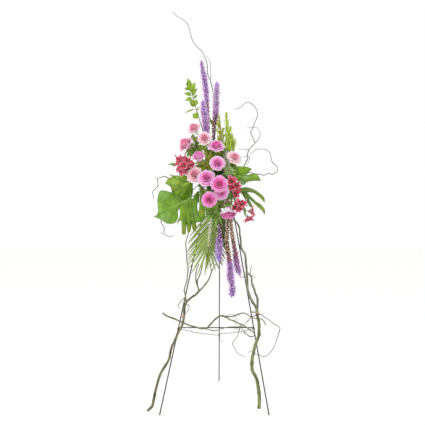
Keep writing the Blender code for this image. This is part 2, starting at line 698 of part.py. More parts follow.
# Palm fronds hang from the bottom of the foam, their leaflets cut to the rib.
def palm_outline(rib, left, right):
    # Walks down one side and up the other. A side gives the first and last root share along
    # the rib, how many leaflets, and the angle and length of the first and the last.
    def at(share):
        place = share * (len(rib) - 1)
        step = min(int(place), len(rib) - 2)
        return Vector(rib[step]).lerp(Vector(rib[step + 1]), place - step)

    def side(way, spec):
        first, last, count, angle_first, angle_last, length_first, length_last = spec
        points = []
        for index in range(count):
            t = index / (count - 1)
            share = first + (last - first) * t
            angle = math.radians(angle_first + (angle_last - angle_first) * t**4)
            length = length_first + (length_last - length_first) * t**4
            length *= random.uniform(0.9, 1.05)
            run = Vector((way * math.sin(angle), math.cos(angle)))
            across = Vector((run.y, -run.x)) * way * 0.62
            root = at(share) + Vector((way * 0.7, 0.0))
            points.append(root + Vector((0.0, -0.5)))
            points.append(root + run * length * 0.45 + across)
            points.append(root + run * length)
            points.append(root + run * length * 0.45 - across)
            points.append(root + Vector((0.0, 0.9)))
        return points

    top = Vector(rib[0])
    end = Vector(rib[-1])
    outline = [top + Vector((0.6, -1.0)), top + Vector((-0.6, -1.0))]
    outline += side(-1, left)
    outline.append(end + Vector((0.0, 16.0)))
    outline += side(1, right)[::-1]
    return [tuple(point) for point in outline]


def make_palms():
    rib = [(212.2, 208.0), (210.8, 218.0), (210.0, 229.0), (208.9, 240.0), (207.8, 251.0)]
    outline = palm_outline(rib, (0.16, 0.98, 14, 41, 7, 34, 24), (0.20, 0.96, 11, 37, 8, 29, 22))

    def depth_at(column, row):
        return 0.118 - 0.0006 * (row - 208.0) + 0.0009 * abs(column - 209.5)

    blade = outline_sheet(outline, rib, depth_at, THIN_BLADE, PALM)
    start = seen(212.2, 208.4, depth_at(212.2, 208.4))
    stem = into_foam(start, Vector((0.0, 0.0, 0.02)), "bottom", -0.030, 0.006, LEAF_STEM)
    fuse("palm_frond", [blade, stem])


def make_willow():
    twigs = {
        "willow_top": ([[(213.4, 112, 0.175), (213.2, 94, 0.175), (210.6, 82, 0.175), (207.5, 72, 0.175),
                         (206, 60, 0.175), (201.5, 51, 0.175), (192.6, 40.6, 0.175), (189.6, 30, 0.175),
                         (182.3, 19.2, 0.175), (172.5, 11.2, 0.175)],
                        [(209.9, 79.6, 0.175), (210.6, 69, 0.175), (206.6, 56.0, 0.175)]],
                       "top", -0.012, 0.018),
        "willow_right": ([[(243.7, 166.4, 0.17), (247.9, 158, 0.17), (249.1, 149.5, 0.17), (254.9, 142.8, 0.17),
                           (250.7, 132.1, 0.17), (254.3, 123.8, 0.17), (257.6, 114.0, 0.17),
                           (252.1, 104.3, 0.17), (245.5, 102.6, 0.17), (234.9, 109.5, 0.17)],
                          [(254.6, 143.2, 0.17), (260.4, 134.8, 0.17), (256.5, 127.6, 0.17),
                           (246.7, 128.3, 0.17)],
                          [(249.0, 149.8, 0.17), (244, 149.2, 0.17), (238.3, 149.8, 0.17)]],
                         "right", 0.010, 0.074),
        "willow_loop": ([[(240, 172, 0.15), (252.3, 173, 0.15), (263.5, 175.3, 0.15), (270, 173.6, 0.15),
                          (277.5, 171.0, 0.15), (274.6, 164.4, 0.15), (270.6, 156, 0.15),
                          (265.1, 149.3, 0.15), (256.0, 149.4, 0.15), (250.4, 153.9, 0.15)]],
                        "right", 0.012, 0.054),
        "willow_left": ([[(170, 178.5, 0.16), (164, 176.3, 0.16), (157.6, 178.9, 0.16), (157.6, 185.5, 0.16),
                          (152.4, 193.2, 0.16), (153.5, 198.5, 0.16)]],
                        "left", 0.016, 0.074),
        "willow_left_low": ([[(166, 214, 0.15), (161.2, 221, 0.15), (164.4, 229, 0.15), (163.4, 233.6, 0.15),
                              (168.2, 236.4, 0.15), (174.2, 234.8, 0.15)],
                             [(163.8, 233.4, 0.15), (160.3, 232.6, 0.15)]],
                            "left", 0.016, -0.064),
    }
    for name, (paths, face, across, up) in twigs.items():
        shapes = []
        for path in paths:
            points = [seen(*spot) for spot in path]
            last = len(points) - 1
            wide = 0.0024 if path is paths[0] else 0.0017
            radii = [wide * (1.0 - 0.5 * step / last) for step in range(last + 1)]
            shapes.append(tube(points, radii, 4, TWIG))
        first = seen(*paths[0][0])
        back = (first - seen(*paths[0][1])).normalized()
        shapes.append(into_foam(first - back * 0.003, back * 0.04, face, across, up, 0.0022))
        fuse(name, shapes)


def in_front(gap, column, row, further=0.0):
    # A photo point this far in front of the plane of the front legs.
    depth = 0.0
    for _ in range(4):
        depth = seen(column, row, depth).z * LEAN - gap - further
    return seen(column, row, depth)


BRANCHES = {
    "branch_left": (0.012, [
        (0.0065, 0.0055, 5, [(147.4, 411.0), (153.2, 403.0), (156.2, 388.0), (162, 371.0), (168.8, 359.5),
                             (172.1, 346.1), (177.3, 334.6), (182.2, 323.5), (183.9, 311.0), (185.8, 302.6),
                             (192.6, 296.7), (199.7, 290.0)]),
        (0.0040, 0.0022, 4, [(199.0, 291.0), (196.4, 283.0), (196.1, 271.9), (199, 263.6)]),
        (0.0042, 0.0024, 4, [(198.6, 291.0), (205.1, 284.6), (211.0, 274.0), (216.2, 263.9)]),
        (0.0030, 0.0026, 4, [(186.4, 303.5), (184.6, 292), (187.9, 270), (186, 246), (188.6, 231.6)]),
        (0.0024, 0.0014, 4, [(185.0, 298.0), (179.6, 302.8), (179.6, 309.1)]),
        (0.0024, 0.0014, 4, [(184.6, 303.5), (188.8, 308.0), (185, 314.6)]),
    ]),
    "branch_right": (0.015, [
        (0.0085, 0.0070, 6, [(259.1, 408.6), (259.1, 395.0), (256.6, 378.5), (252.2, 369.0), (252.4, 357.9),
                             (256.0, 343.0), (259.0, 331.0), (258.4, 319.5), (256.7, 307.9)]),
        (0.0060, 0.0045, 5, [(257.0, 310.0), (257.4, 299.6), (254.5, 290.0), (251.6, 280.0), (248.4, 272.5)]),
        (0.0062, 0.0042, 5, [(256.8, 309.0), (250.0, 297.0), (247.5, 287.0), (247, 273.5), (245.7, 257.9),
                             (241.4, 247.5), (240.2, 233.5), (237.5, 223.7), (232.8, 218.6)]),
        (0.0022, 0.0014, 4, [(249.9, 275.5), (250.6, 269.0), (251.8, 265.2)]),
        (0.0022, 0.0014, 4, [(247.6, 277.2), (242.6, 277.3), (239, 274.8)]),
    ]),
    "branch_cross": (0.0228, [
        (0.0040, 0.0042, 5, [(162.5, 312.8), (174.1, 318.7), (189.4, 325.4), (203.5, 328.6), (210.3, 324.6),
                             (217.3, 317.5), (223.7, 315.8)]),
        (0.0034, 0.0026, 4, [(222.2, 316.0), (231, 320.0), (241.2, 324.2), (249.3, 329.5), (254.6, 333.2),
                             (251.6, 336.6), (243.6, 331.8, 0.006)]),
        (0.0034, 0.0024, 4, [(222.4, 315.8), (233.3, 316.3), (242.8, 313.0), (251.5, 317.2, 0.004),
                             (259.5, 318.2, 0.0055), (265.6, 325.4)]),
        (0.0024, 0.0020, 4, [(204.0, 328.5), (212.9, 330.8), (222.7, 328.4), (233.3, 326.8), (243.6, 327.0)]),
        (0.0022, 0.0016, 4, [(251.5, 317.2, 0.004), (259.9, 314.4, 0.006), (264.3, 317.1), (272, 322.4), (280, 327.9),
                             (277.4, 337.4), (271.8, 350.6), (262.7, 356.4, 0.007), (248.4, 352.5, 0.007)]),
        (0.0020, 0.0014, 4, [(241.0, 324.6), (238.8, 332.0), (232.3, 343.7), (237.5, 353.2), (245.8, 357.1)]),
    ]),
}


def make_branches():
    for name, (gap, limbs) in BRANCHES.items():
        shapes = []
        for start_radius, end_radius, sides, spots in limbs:
            points = [in_front(gap, *spot) for spot in spots]
            last = len(points) - 1
            radii = [start_radius + (end_radius - start_radius) * step / last for step in range(last + 1)]
            shapes.append(tube(points, radii, sides, BARK))
        fuse(name, shapes)


# Raffia ties hold the two upright branches to the front legs.
def make_tie(name, leg, branch_spot, gap, branch_radius):
    middle = in_front(gap, *branch_spot)
    post = leg(middle.z)
    away = (middle - post).normalized()
    along = (leg(1.0) - leg(0.0)).normalized()
    side = along.cross(away).normalized()
    slack = (TIE_RADIUS + SEAT_GAP) * 1.3
    path = []
    for centre, radius, start in ((middle, branch_radius, -90), (post, WIRE_RADIUS, 90)):
        for step in range(6):
            turn = math.radians(start + 36 * step)
            way = away * math.cos(turn) + side * math.sin(turn)
            path.append(centre + way * (radius * 1.06 + slack))
    bm = bmesh.new()
    rings = []
    for spot in path:
        outward = (spot - (middle + post) / 2).normalized()
        ring = []
        for step in range(4):
            turn = math.radians(90 * step)
            offset = outward * math.cos(turn) + along * math.sin(turn) * 1.6
            ring.append(bm.verts.new(spot + offset * TIE_RADIUS))
        rings.append(ring)
    for index, ring in enumerate(rings):
        following = rings[(index + 1) % len(rings)]
        for step in range(4):
            after = (step + 1) % 4
            bm.faces.new((ring[step], ring[after], following[after], following[step]))
    keep(name, shape(bm, RAFFIA))


# Leaves of the smaller greenery: base, tip and width in photo pixels, and a depth.
LEAFY_STEMS = {
    "ruscus_stem": {
        "path": [(189.5, 86.5, 0.088), (192.8, 96.4, 0.088), (196.9, 111.7, 0.088), (201.0, 124.4, 0.088),
                 (203.0, 131.0, 0.090)],
        "leaves": [(189.5, 87.5, 188.0, 78.2, 3.0), (190.4, 89.6, 184.3, 88.2, 2.6),
                   (191.1, 91.0, 194.7, 82.2, 3.0), (191.9, 93.6, 197.6, 88.4, 2.8),
                   (192.3, 95.2, 184.0, 93.3, 2.6), (193.0, 97.8, 184.8, 100.6, 2.8),
                   (193.3, 99.0, 197.8, 94.8, 2.4), (195.0, 105.6, 189.6, 100.4, 4.4),
                   (196.0, 108.4, 183.8, 113.4, 1.6), (196.6, 110.8, 202.0, 105.8, 2.4),
                   (198.7, 117.4, 192.6, 113.8, 4.6)],
        "radius": 0.0016,
        "hole": ("top", -0.050, -0.005),
    },
    "greenery_upper": {
        "path": [(192.6, 139.0, 0.060), (194.5, 148.0, 0.070)],
        "leaves": [(193.0, 141.0, 192.8, 133.6, 4.4), (193.6, 144.0, 188.8, 151.0, 4.0),
                   (194.4, 147.6, 198.6, 143.4, 4.0), (194.2, 147.0, 187.6, 156.4, 4.2)],
        "radius": 0.0018,
        "hole": ("left", -0.006, 0.078),
    },
    "greenery_middle": {
        "path": [(207.6, 160.0, 0.052), (208.4, 166.0, 0.060)],
        "leaves": [(206.6, 161.0, 205.6, 149.6, 4.6), (207.4, 163.0, 212.0, 154.0, 4.0),
                   (208.0, 165.0, 203.4, 166.4, 4.0), (208.4, 165.6, 212.0, 172.4, 4.2)],
        "radius": 0.0018,
        "hole": ("front", -0.010, 0.046),
    },
    "greenery_low": {
        "path": [(216.0, 212.0, 0.040), (215.0, 204.0, 0.060)],
        "leaves": [(216.0, 211.0, 212.8, 222.4, 5.0), (216.0, 210.0, 221.2, 219.6, 5.0),
                   (215.6, 207.0, 203.4, 212.6, 4.4), (215.4, 206.0, 224.0, 207.6, 4.2)],
        "radius": 0.0020,
        "hole": ("front", 0.010, -0.072),
    },
}


def on_path(path, column, row):
    # The point of a path, as column, row and depth, that the photograph shows nearest to a pixel.
    best = None
    for start, end in zip(path, path[1:]):
        start = Vector(start)
        run = Vector(end) - start
        flat = run.xy
        share = max(0.0, min(1.0, (Vector((column, row)) - start.xy).dot(flat) / flat.length_squared))
        spot = start + run * share
        away = (spot.xy - Vector((column, row))).length
        if best is None or away < best[0]:
            best = (away, spot)
    return tuple(best[1])


def make_leafy_stems():
    for name, plant in LEAFY_STEMS.items():
        points = [seen(*spot) for spot in plant["path"]]
        radius = plant["radius"]
        shapes = [tube(points, radius, 4, STEM)]
        for column, row, tip_column, tip_row, width in plant["leaves"]:
            column, row, depth = on_path(plant["path"], column, row)
            base = seen(column, row, depth)
            tip = seen(tip_column, tip_row, depth - random.uniform(-0.002, 0.010))
            lift = Vector((0.0, -0.0022, 0.0))
            shapes.append(kite(base, tip, width * PIXEL, lift, THIN_BLADE, LEAF))
        face, across, up = plant["hole"]
        back = (points[-1] - points[-2]).normalized()
        shapes.append(into_foam(points[-1] - back * 0.003, back * 0.03, face, across, up, radius))
        fuse(name, shapes)


# Alstroemeria: small funnel blooms on thin stalks from one stem.
# A bloom gives column, row, depth, the way it faces, and its radius.
ALSTROEMERIA = {
    "alstroemeria_left": {
        "fork": (186.6, 167.0, 0.062),
        "blooms": [(179.4, 160.6, 0.012, (-0.55, -0.70, 0.45), 0.024),
                   (187.6, 161.0, 0.006, (0.10, -0.85, 0.50), 0.024),
                   (179.8, 169.2, 0.016, (-0.60, -0.75, -0.25), 0.023),
                   (187.4, 167.8, -0.024, (0.15, -0.95, -0.20), 0.020)],
        "hole": ("left", -0.024, 0.022),
    },
    "alstroemeria_right": {
        "fork": (231.6, 187.0, 0.060),
        "blooms": [(231.4, 181.2, 0.004, (-0.10, -0.90, 0.35), 0.021),
                   (236.8, 185.0, 0.016, (0.50, -0.80, 0.20), 0.021),
                   (235.6, 193.0, 0.018, (0.35, -0.90, -0.20), 0.021)],
        "hole": ("right", -0.024, 0.012),
    },
    "alstroemeria_low": {
        "fork": (237.4, 204.4, 0.062),
        "blooms": [(235.2, 207.4, 0.026, (-0.20, -0.90, -0.30), 0.018),
                   (241.2, 204.2, 0.010, (0.30, -0.90, 0.20), 0.026),
                   (251.8, 211.4, 0.030, (0.85, -0.45, -0.30), 0.022),
                   (248.4, 220.4, 0.030, (0.45, -0.45, -0.80), 0.023)],
        "hole": ("right", -0.024, -0.040),
    },
}


def make_star_filler():
    # A green star of pointed bracts on one stem.
    spot = (228.6, 172.0, 0.040)
    place = facing(seen(*spot), (0.10, -0.90, 0.42))
    axis = (place.to_3x3() @ Vector((0, 0, 1))).normalized()
    star = corolla(place, 0.034, 7, 0.5, LEAF)
    stem = into_foam(seen(*spot) - axis * 0.015, axis * -0.03, "front", 0.038, 0.048, LILY_STEM)
    fuse("star_filler", [star, stem])


def make_alstroemeria():
    for name, plant in ALSTROEMERIA.items():
        fork = seen(*plant["fork"])
        shapes = [turned([(0.002, -0.004), (0.0036, 0.0), (0.002, 0.004)], 4, Matrix.Translation(fork), STEM)]
        for column, row, depth, direction, radius in plant["blooms"]:
            place = facing(seen(column, row, depth), direction, random.uniform(0, 2 * math.pi))
            axis = (place.to_3x3() @ Vector((0, 0, 1))).normalized()
            shapes.append(corolla(place, radius, 5, 0.8, CRIMSON))
            stalk = curve(place @ Vector((0, 0, -0.72 * radius)), axis * -0.014, fork, Vector(), 2)
            shapes.append(tube(stalk, LILY_STALK, 3, STEM))
        face, across, up = plant["hole"]
        shapes.append(into_foam(fork, Vector((0.0, 0.02, 0.0)), face, across, up, LILY_STEM))
        fuse(name, shapes)


make_easel()
make_tie("raffia_tie_left", left_leg, (183.6, 317.0), 0.012, 0.0058)
make_tie("raffia_tie_right", right_leg, (257.2, 312.4), 0.015, 0.0073)
make_leafy_stems()
make_spikes()
make_star_filler()
make_alstroemeria()
make_roses()
make_split_leaves()
make_palms()
make_willow()
make_branches()
make_foam()
make_tray()
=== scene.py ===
# A standing funeral spray on a folding wire easel: the looks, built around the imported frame.
import math

import bpy
import numpy as np
from mathutils import Matrix, Vector
from mathutils.geometry import delaunay_2d_cdt


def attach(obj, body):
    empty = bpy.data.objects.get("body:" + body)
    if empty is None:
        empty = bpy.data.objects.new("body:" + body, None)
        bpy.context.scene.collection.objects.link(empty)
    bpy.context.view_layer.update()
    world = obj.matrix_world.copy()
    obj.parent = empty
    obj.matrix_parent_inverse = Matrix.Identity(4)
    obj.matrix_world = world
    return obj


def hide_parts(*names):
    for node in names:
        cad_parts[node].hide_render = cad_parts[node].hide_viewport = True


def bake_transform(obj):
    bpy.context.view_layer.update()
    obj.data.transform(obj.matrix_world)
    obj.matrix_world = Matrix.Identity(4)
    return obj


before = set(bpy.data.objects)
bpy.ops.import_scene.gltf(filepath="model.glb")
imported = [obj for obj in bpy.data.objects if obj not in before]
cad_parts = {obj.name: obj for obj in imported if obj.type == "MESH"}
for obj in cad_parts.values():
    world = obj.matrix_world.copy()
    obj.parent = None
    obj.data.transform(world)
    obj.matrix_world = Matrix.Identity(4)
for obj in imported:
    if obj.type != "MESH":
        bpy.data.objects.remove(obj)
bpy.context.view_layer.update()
rng = np.random.default_rng(47)
print("frame loaded:", len(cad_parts), "nodes")

# How the photograph sees the spray: pixels of its 425 x 425 frame, and metres.
photo = {
    "pixel": 0.005,  # metres for a pixel at the front feet
    "middleColumn": 219.0,
    "floorRow": 415.0,
    "eye": np.array((-0.0325, -3.02, 1.0125)),
    "shift": np.array((-0.0275, 0.2575, 0.0)),  # taken off, so that the part stands over the origin
}
# The easel: radii of its wires, feet, slopes as metres for a metre of height, heights, and the gap that is left
# between pieces that would touch.
easel = {
    "wire": 0.003, "barWire": 0.0025, "eyeWire": 0.0027, "eyeRing": 0.0060, "string": 0.0014,
    "leftFoot": -0.297, "rightFoot": 0.250, "rearFoot": 0.62,
    "leftSlope": 0.2143, "rightSlope": -0.1696, "lean": 0.1812,
    "top": 1.392, "hinge": 1.370, "crossbar": 0.4223, "stay": 0.295,
    "gap": 0.0003,
    "tint": "#303237",
}
foam = {
    "size": np.array((0.110, 0.080, 0.230)),
    "x": -0.004,
    "z": 1.190,
    "tray": 0.003,
    "hole": 0.030,
    "ease": 0.006,  # how far in from each edge the rounding starts
    "tint": "#2F5A34",
}


# Places

def seen(spots):
    # Points of the photograph, given as column, row and metres behind the front feet.
    spots = np.asarray(spots, dtype=float)
    eye = photo["eye"]
    across = (spots[..., 0] - photo["middleColumn"]) * photo["pixel"]
    height = (photo["floorRow"] - spots[..., 1]) * photo["pixel"]
    reach = (spots[..., 2] - eye[1]) / -eye[1]
    x = eye[0] + (across - eye[0]) * reach
    z = eye[2] + (height - eye[2]) * reach
    return np.stack((x, spots[..., 2], z), axis=-1) - photo["shift"]


def onFrame(x, z, back=0.0):
    # A point of the leaning plane of the front legs.
    return np.array((x, z * easel["lean"] + back, z)) - photo["shift"]


def leftLeg(z, back=0.0):
    return onFrame(easel["leftFoot"] + easel["leftSlope"] * z, z, back)


def rightLeg(z, back=0.0):
    return onFrame(easel["rightFoot"] + easel["rightSlope"] * z, z, back)


def filled(spots, value):
    # Spots of column, row and a third value, which is the given one where a spot has none of its own.
    return np.array([tuple(spot) + (value,) * (3 - len(spot)) for spot in spots], dtype=float)


def inFront(gap, spots):
    # Photo points this far in front of the plane of the front legs; a third value is further still.
    spots = filled(spots, 0.0)
    further = spots[:, 2].copy()
    spots[:, 2] = 0.0
    for _ in range(4):
        spots[:, 2] = seen(spots)[:, 2] * easel["lean"] - gap - further
    return seen(spots)


foamTurn = np.array(Matrix.Rotation(-math.atan(easel["lean"]), 3, "X"))
foamBack = easel["wire"] + foam["tray"] + 2 * easel["gap"] + foam["size"][1] / 2
foamCentre = onFrame(foam["x"], foam["z"]) + foamTurn @ np.array((0.0, -foamBack, 0.0))


def inFoam(spots):
    # From the foam block's own axes to the frame's.
    return np.asarray(spots, dtype=float) @ foamTurn.T + foamCentre


def foamHole(face, first, second):
    # The mouth of a stem's hole and the way in, from its place along the two other axes of the foam.
    wide, deep, tall = foam["size"] / 2
    mouth, inward = {
        "front": ((first, -deep, second), (0, 1, 0)),
        "top": ((first, second, tall), (0, 0, -1)),
        "bottom": ((first, second, -tall), (0, 0, 1)),
        "left": ((-wide, first, second), (1, 0, 0)),
        "right": ((wide, first, second), (-1, 0, 0)),
    }[face]
    return inFoam(mouth), foamTurn @ np.array(inward, dtype=float)


# Helpers for surfaces

up = np.array((0.0, 0.0, 1.0))


def unit(vectors):
    return vectors / np.maximum(np.linalg.norm(vectors, axis=-1, keepdims=True), 1e-12)


def linear(code):
    # An sRGB hex value as linear red, green and blue.
    parts = np.array([int(code[step:step + 2], 16) / 255 for step in (1, 3, 5)])
    return np.where(parts <= 0.04045, parts / 12.92, ((parts + 0.055) / 1.055) ** 2.4)


def mixTint(first, second, share):
    share = np.clip(np.asarray(share, dtype=float), 0.0, 1.0)[..., None]
    return first * (1 - share) + second * share


def smooth(low, high, value):
    # 0 below low and 1 above high, with 3 t^2 - 2 t^3 between them.
    share = np.clip((value - low) / (high - low), 0.0, 1.0)
    return share * share * (3 - 2 * share)


def facing(centre, direction, roll=0.0):
    # Rotation and centre of a bloom whose own +Z looks along a direction.
    turn = Vector(direction).normalized().to_track_quat("Z", "Y").to_matrix()
    return np.array(turn @ Matrix.Rotation(roll, 3, "Z")), np.asarray(centre)


def placed(points, place):
    return points @ place[0].T + place[1]


def upAxis(low, high, count):
    # Points up a bloom's own axis.
    return np.linspace(low, high, count)[:, None] * up


def aroundAxis(out, across, height, turn):
    # Petal points about a bloom's own axis: so far out, so far across and so high, at each turn.
    x = out * np.cos(turn) - across * np.sin(turn)
    y = out * np.sin(turn) + across * np.cos(turn)
    return np.stack((x, y, height + 0 * turn), axis=-1)


def sheetGrid(rows, columns):
    # v from root to rim along a petal or leaf, and u from its left edge to its right one.
    return np.linspace(0.0, 1.0, rows)[None, :, None], np.linspace(-1.0, 1.0, columns)[None, None, :]


def bezier(start, leaving, end, arriving, steps):
    # Cubic curve that leaves along one vector and arrives along another.
    t = np.linspace(0.0, 1.0, steps)[:, None]
    s = 1 - t
    outer = start * s**3 + (start + leaving) * 3 * s * s * t
    return outer + (end - arriving) * 3 * s * t * t + end * t**3


def runLength(path):
    # The length so far at each point of a path.
    return np.concatenate(([0.0], np.cumsum(np.linalg.norm(np.diff(path, axis=0), axis=1))))


def smoothPath(points, spacing):
    # Catmull-Rom curve through points, sampled again at even lengths.
    points = np.asarray(points, dtype=float)
    ends = np.concatenate((2 * points[:1] - points[1:2], points, 2 * points[-1:] - points[-2:-1]))
    t = np.linspace(0.0, 1.0, 9)[:-1][None, :, None]
    a, b, c, d = (ends[step:len(ends) - 3 + step, None] for step in range(4))
    curve = 2 * b + (c - a) * t + (2 * a - 5 * b + 4 * c - d) * t**2 + (3 * b - a - 3 * c + d) * t**3
    curve = np.concatenate((0.5 * curve.reshape(-1, points.shape[1]), points[-1:]))
    lengths = runLength(curve)
    count = max(4, int(lengths[-1] / spacing) + 1)
    wanted = np.linspace(0.0, lengths[-1], count)
    return np.stack([np.interp(wanted, lengths, values) for values in curve.T], axis=1)


def gridFaces(rows, columns, closed=False):
    # Quads of a grid of points, row after row; closed joins the last column to the first.
    across = np.arange(columns if closed else columns - 1)
    row, column = np.meshgrid(np.arange(rows - 1) * columns, across, indexing="ij")
    after = row + (column + 1) % columns
    corners = (row + column, after, after + columns, row + column + columns)
    return np.stack(corners, axis=-1).reshape(-1, 4)


def repeated(faces, count, stride):
    # The faces of one sheet or bar, again for each of its copies.
    steps = np.arange(count)[:, None, None] * stride
    return (faces[None] + steps).reshape(-1, faces.shape[1])


def spread(values, shape):
    # One colour, or a colour for each place, over a whole grid of points.
    return np.broadcast_to(np.asarray(values, dtype=float), tuple(shape) + (3,))


def part(points, faces, tint, form, finish=0):
    # Points and faces with a colour and a form coordinate for each point; finish counts the piece's materials.
    points = points.reshape(-1, 3)
    return {"points": points, "faces": faces, "tint": np.asarray(tint).reshape(-1, 3),
            "form": np.asarray(form).reshape(-1, 3), "finish": finish}


def blades(middle, thickness, front, back, form=None, finish=0):
    # Thin closed shells. middle holds blade, row, column and xyz of the mid surfaces: both faces of a blade lie
    # half a thickness to its sides, and a strip of quads closes the edge. form is v, u and a value of choice.
    count, rows, columns = middle.shape[:3]
    alongRow = np.gradient(middle, axis=1)
    alongColumn = np.gradient(middle, axis=2)
    normal = unit(np.cross(alongColumn, alongRow))
    half = np.broadcast_to(np.asarray(thickness, dtype=float), (count, rows, columns))[..., None] / 2
    points = np.stack((middle + normal * half, middle - normal * half), axis=1)
    sheet = rows * columns
    face = gridFaces(rows, columns)
    top = np.arange(columns)
    right = np.arange(1, rows) * columns + columns - 1
    bottom = np.arange(columns - 2, -1, -1) + (rows - 1) * columns
    left = np.arange(rows - 2, 0, -1) * columns
    loop = np.concatenate((top, right, bottom, left))
    after = np.roll(loop, -1)
    rim = np.stack((after, loop, loop + sheet, after + sheet), axis=-1)
    faces = [repeated(group, count, 2 * sheet) for group in (face, face[:, ::-1] + sheet, rim)]
    front, back = (spread(value, (count, rows, columns)) for value in (front, back))
    if form is None:
        v, u = np.meshgrid(np.linspace(0, 1, rows), np.linspace(-1, 1, columns), indexing="ij")
        form = np.stack((v, u, np.zeros_like(u)), axis=-1)
    form = np.broadcast_to(form, (count, rows, columns, 3))
    return part(points, faces, np.stack((front, back), axis=1), np.stack((form, form), axis=1), finish)


def tubes(paths, radii, sides, tint, finish=0, wobble=None):
    # Round bars along paths: at each path point a ring of radius r about the tangent, both ends closed.
    # form holds the bar straightened out: r cos, r sin and the length so far. tint may be one hex value.
    paths = np.asarray(paths, dtype=float)
    if paths.ndim == 2:
        paths = paths[None]
    count, length = paths.shape[:2]
    tangent = unit(np.gradient(paths, axis=1))
    least = np.argmin(np.abs(tangent).max(axis=1), axis=-1)
    guide = np.eye(3)[least][:, None]
    side = unit(np.cross(tangent, guide))
    other = np.cross(tangent, side)
    turn = np.linspace(0.0, 2 * math.pi, sides, endpoint=False)
    radii = np.broadcast_to(np.asarray(radii, dtype=float), (count, length))[..., None]
    ring = radii * (1.0 if wobble is None else wobble)
    ring = np.broadcast_to(ring, (count, length, sides))
    offset = side[:, :, None] * np.cos(turn)[:, None] + other[:, :, None] * np.sin(turn)[:, None]
    points = paths[:, :, None] + offset * ring[..., None]
    steps = np.linalg.norm(np.diff(paths, axis=1), axis=-1)
    along = np.concatenate((np.zeros((count, 1)), np.cumsum(steps, axis=1)), axis=1)[..., None]
    form = np.stack((ring * np.cos(turn), ring * np.sin(turn), np.broadcast_to(along, ring.shape)), axis=-1)
    wall = repeated(gridFaces(length, sides, closed=True), count, length * sides)
    cap = np.arange(sides)[None]
    caps = [repeated(cap[:, ::-1], count, length * sides),
            repeated(cap + (length - 1) * sides, count, length * sides)]
    tint = linear(tint) if isinstance(tint, str) else np.asarray(tint, dtype=float)
    if tint.ndim == 3:
        tint = tint[:, :, None]
    return part(points, [wall] + caps, spread(tint, (count, length, sides)), form, finish)


def shell(points, triangles, thickness, front, back, form):
    # A thin closed sheet over free triangles, turned to face the viewer, with a rim along its open edges.
    first, second, third = (points[triangles[:, corner]] for corner in range(3))
    slant = np.cross(second - first, third - first)
    if slant[:, 1].sum() > 0:
        triangles = triangles[:, ::-1]
        slant = -slant
    normal = np.zeros_like(points)
    for corner in range(3):
        np.add.at(normal, triangles[:, corner], slant)
    normal = unit(normal) * np.asarray(thickness).reshape(-1, 1) / 2
    count = len(points)
    edges = np.concatenate((triangles[:, (0, 1)], triangles[:, (1, 2)], triangles[:, (2, 0)]))
    codes = edges[:, 0] * count + edges[:, 1]
    open_ = edges[~np.isin(codes, edges[:, 1] * count + edges[:, 0])]
    rim = np.stack((open_[:, 1], open_[:, 0], open_[:, 0] + count, open_[:, 1] + count), axis=-1)
    faces = [triangles, triangles[:, ::-1] + count, rim]
    both = np.concatenate((points + normal, points - normal))
    return part(both, faces, np.concatenate((front, back)), np.concatenate((form, form)))


sharpAngle = math.radians(55.0)  # steeper edges than this keep their crease


def makePiece(name, parts, finishes, node, body="front_frame"):
    # One mesh from many parts, with its tint and form kept as attributes of its points.
    starts = np.cumsum([0] + [len(item["points"]) for item in parts])
    points, tint, form = (np.concatenate([item[key] for item in parts]) for key in ("points", "tint", "form"))
    groups = [(faces + start, item["finish"]) for item, start in zip(parts, starts)
              for faces in item["faces"]]
    corners = np.concatenate([faces.ravel() for faces, _ in groups])
    totals = np.concatenate([np.full(len(faces), faces.shape[1]) for faces, _ in groups])
    marks = np.concatenate([np.full(len(faces), finish) for faces, finish in groups])
    mesh = bpy.data.meshes.new(name)
    mesh.vertices.add(len(points))
    mesh.vertices.foreach_set("co", points.astype(np.float32).ravel())
    mesh.loops.add(len(corners))
    mesh.loops.foreach_set("vertex_index", corners.astype(np.int32))
    mesh.polygons.add(len(totals))
    mesh.polygons.foreach_set("loop_start", (np.cumsum(totals) - totals).astype(np.int32))
    mesh.polygons.foreach_set("vertices", corners.astype(np.int32))
    mesh.polygons.foreach_set("material_index", marks.astype(np.int32))
    colour = np.concatenate((np.clip(tint, 0.0, 1.0), np.ones((len(tint), 1))), axis=1)
    for key, kind, field, values in (("tint", "FLOAT_COLOR", "color", colour),
                                     ("form", "FLOAT_VECTOR", "vector", form)):
        kept = mesh.attributes.new(key, kind, "POINT")
        kept.data.foreach_set(field, values.astype(np.float32).ravel())
    mesh.update(calc_edges=True)
    mesh.validate()
    for finish in finishes:
        mesh.materials.append(finish)
    mesh.shade_smooth()
    mesh.set_sharp_from_angle(angle=sharpAngle)
    piece = bpy.data.objects.new(name, mesh)
    bpy.context.scene.collection.objects.link(piece)
    if body:
        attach(piece, body)
    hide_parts(node)
    return piece


# Materials

def addNode(tree, kind, values=None, links=None, **settings):
    # One node: settings are its own properties, values its sockets' numbers, links what feeds them.
    node = tree.nodes.new(kind)
    for name, value in settings.items():
        setattr(node, name, value)
    for name, value in (values or {}).items():
        node.inputs[name].default_value = value
    for name, source in (links or {}).items():
        tree.links.new(source, node.inputs[name])
    return node


def newMaterial(name, values):
    material = bpy.data.materials.new(name)
    material.use_nodes = True
    tree = material.node_tree
    tree.nodes.clear()
    shader = addNode(tree, "ShaderNodeBsdfPrincipled", values)
    addNode(tree, "ShaderNodeOutputMaterial", links={"Surface": shader.outputs["BSDF"]})
    return material, tree, shader


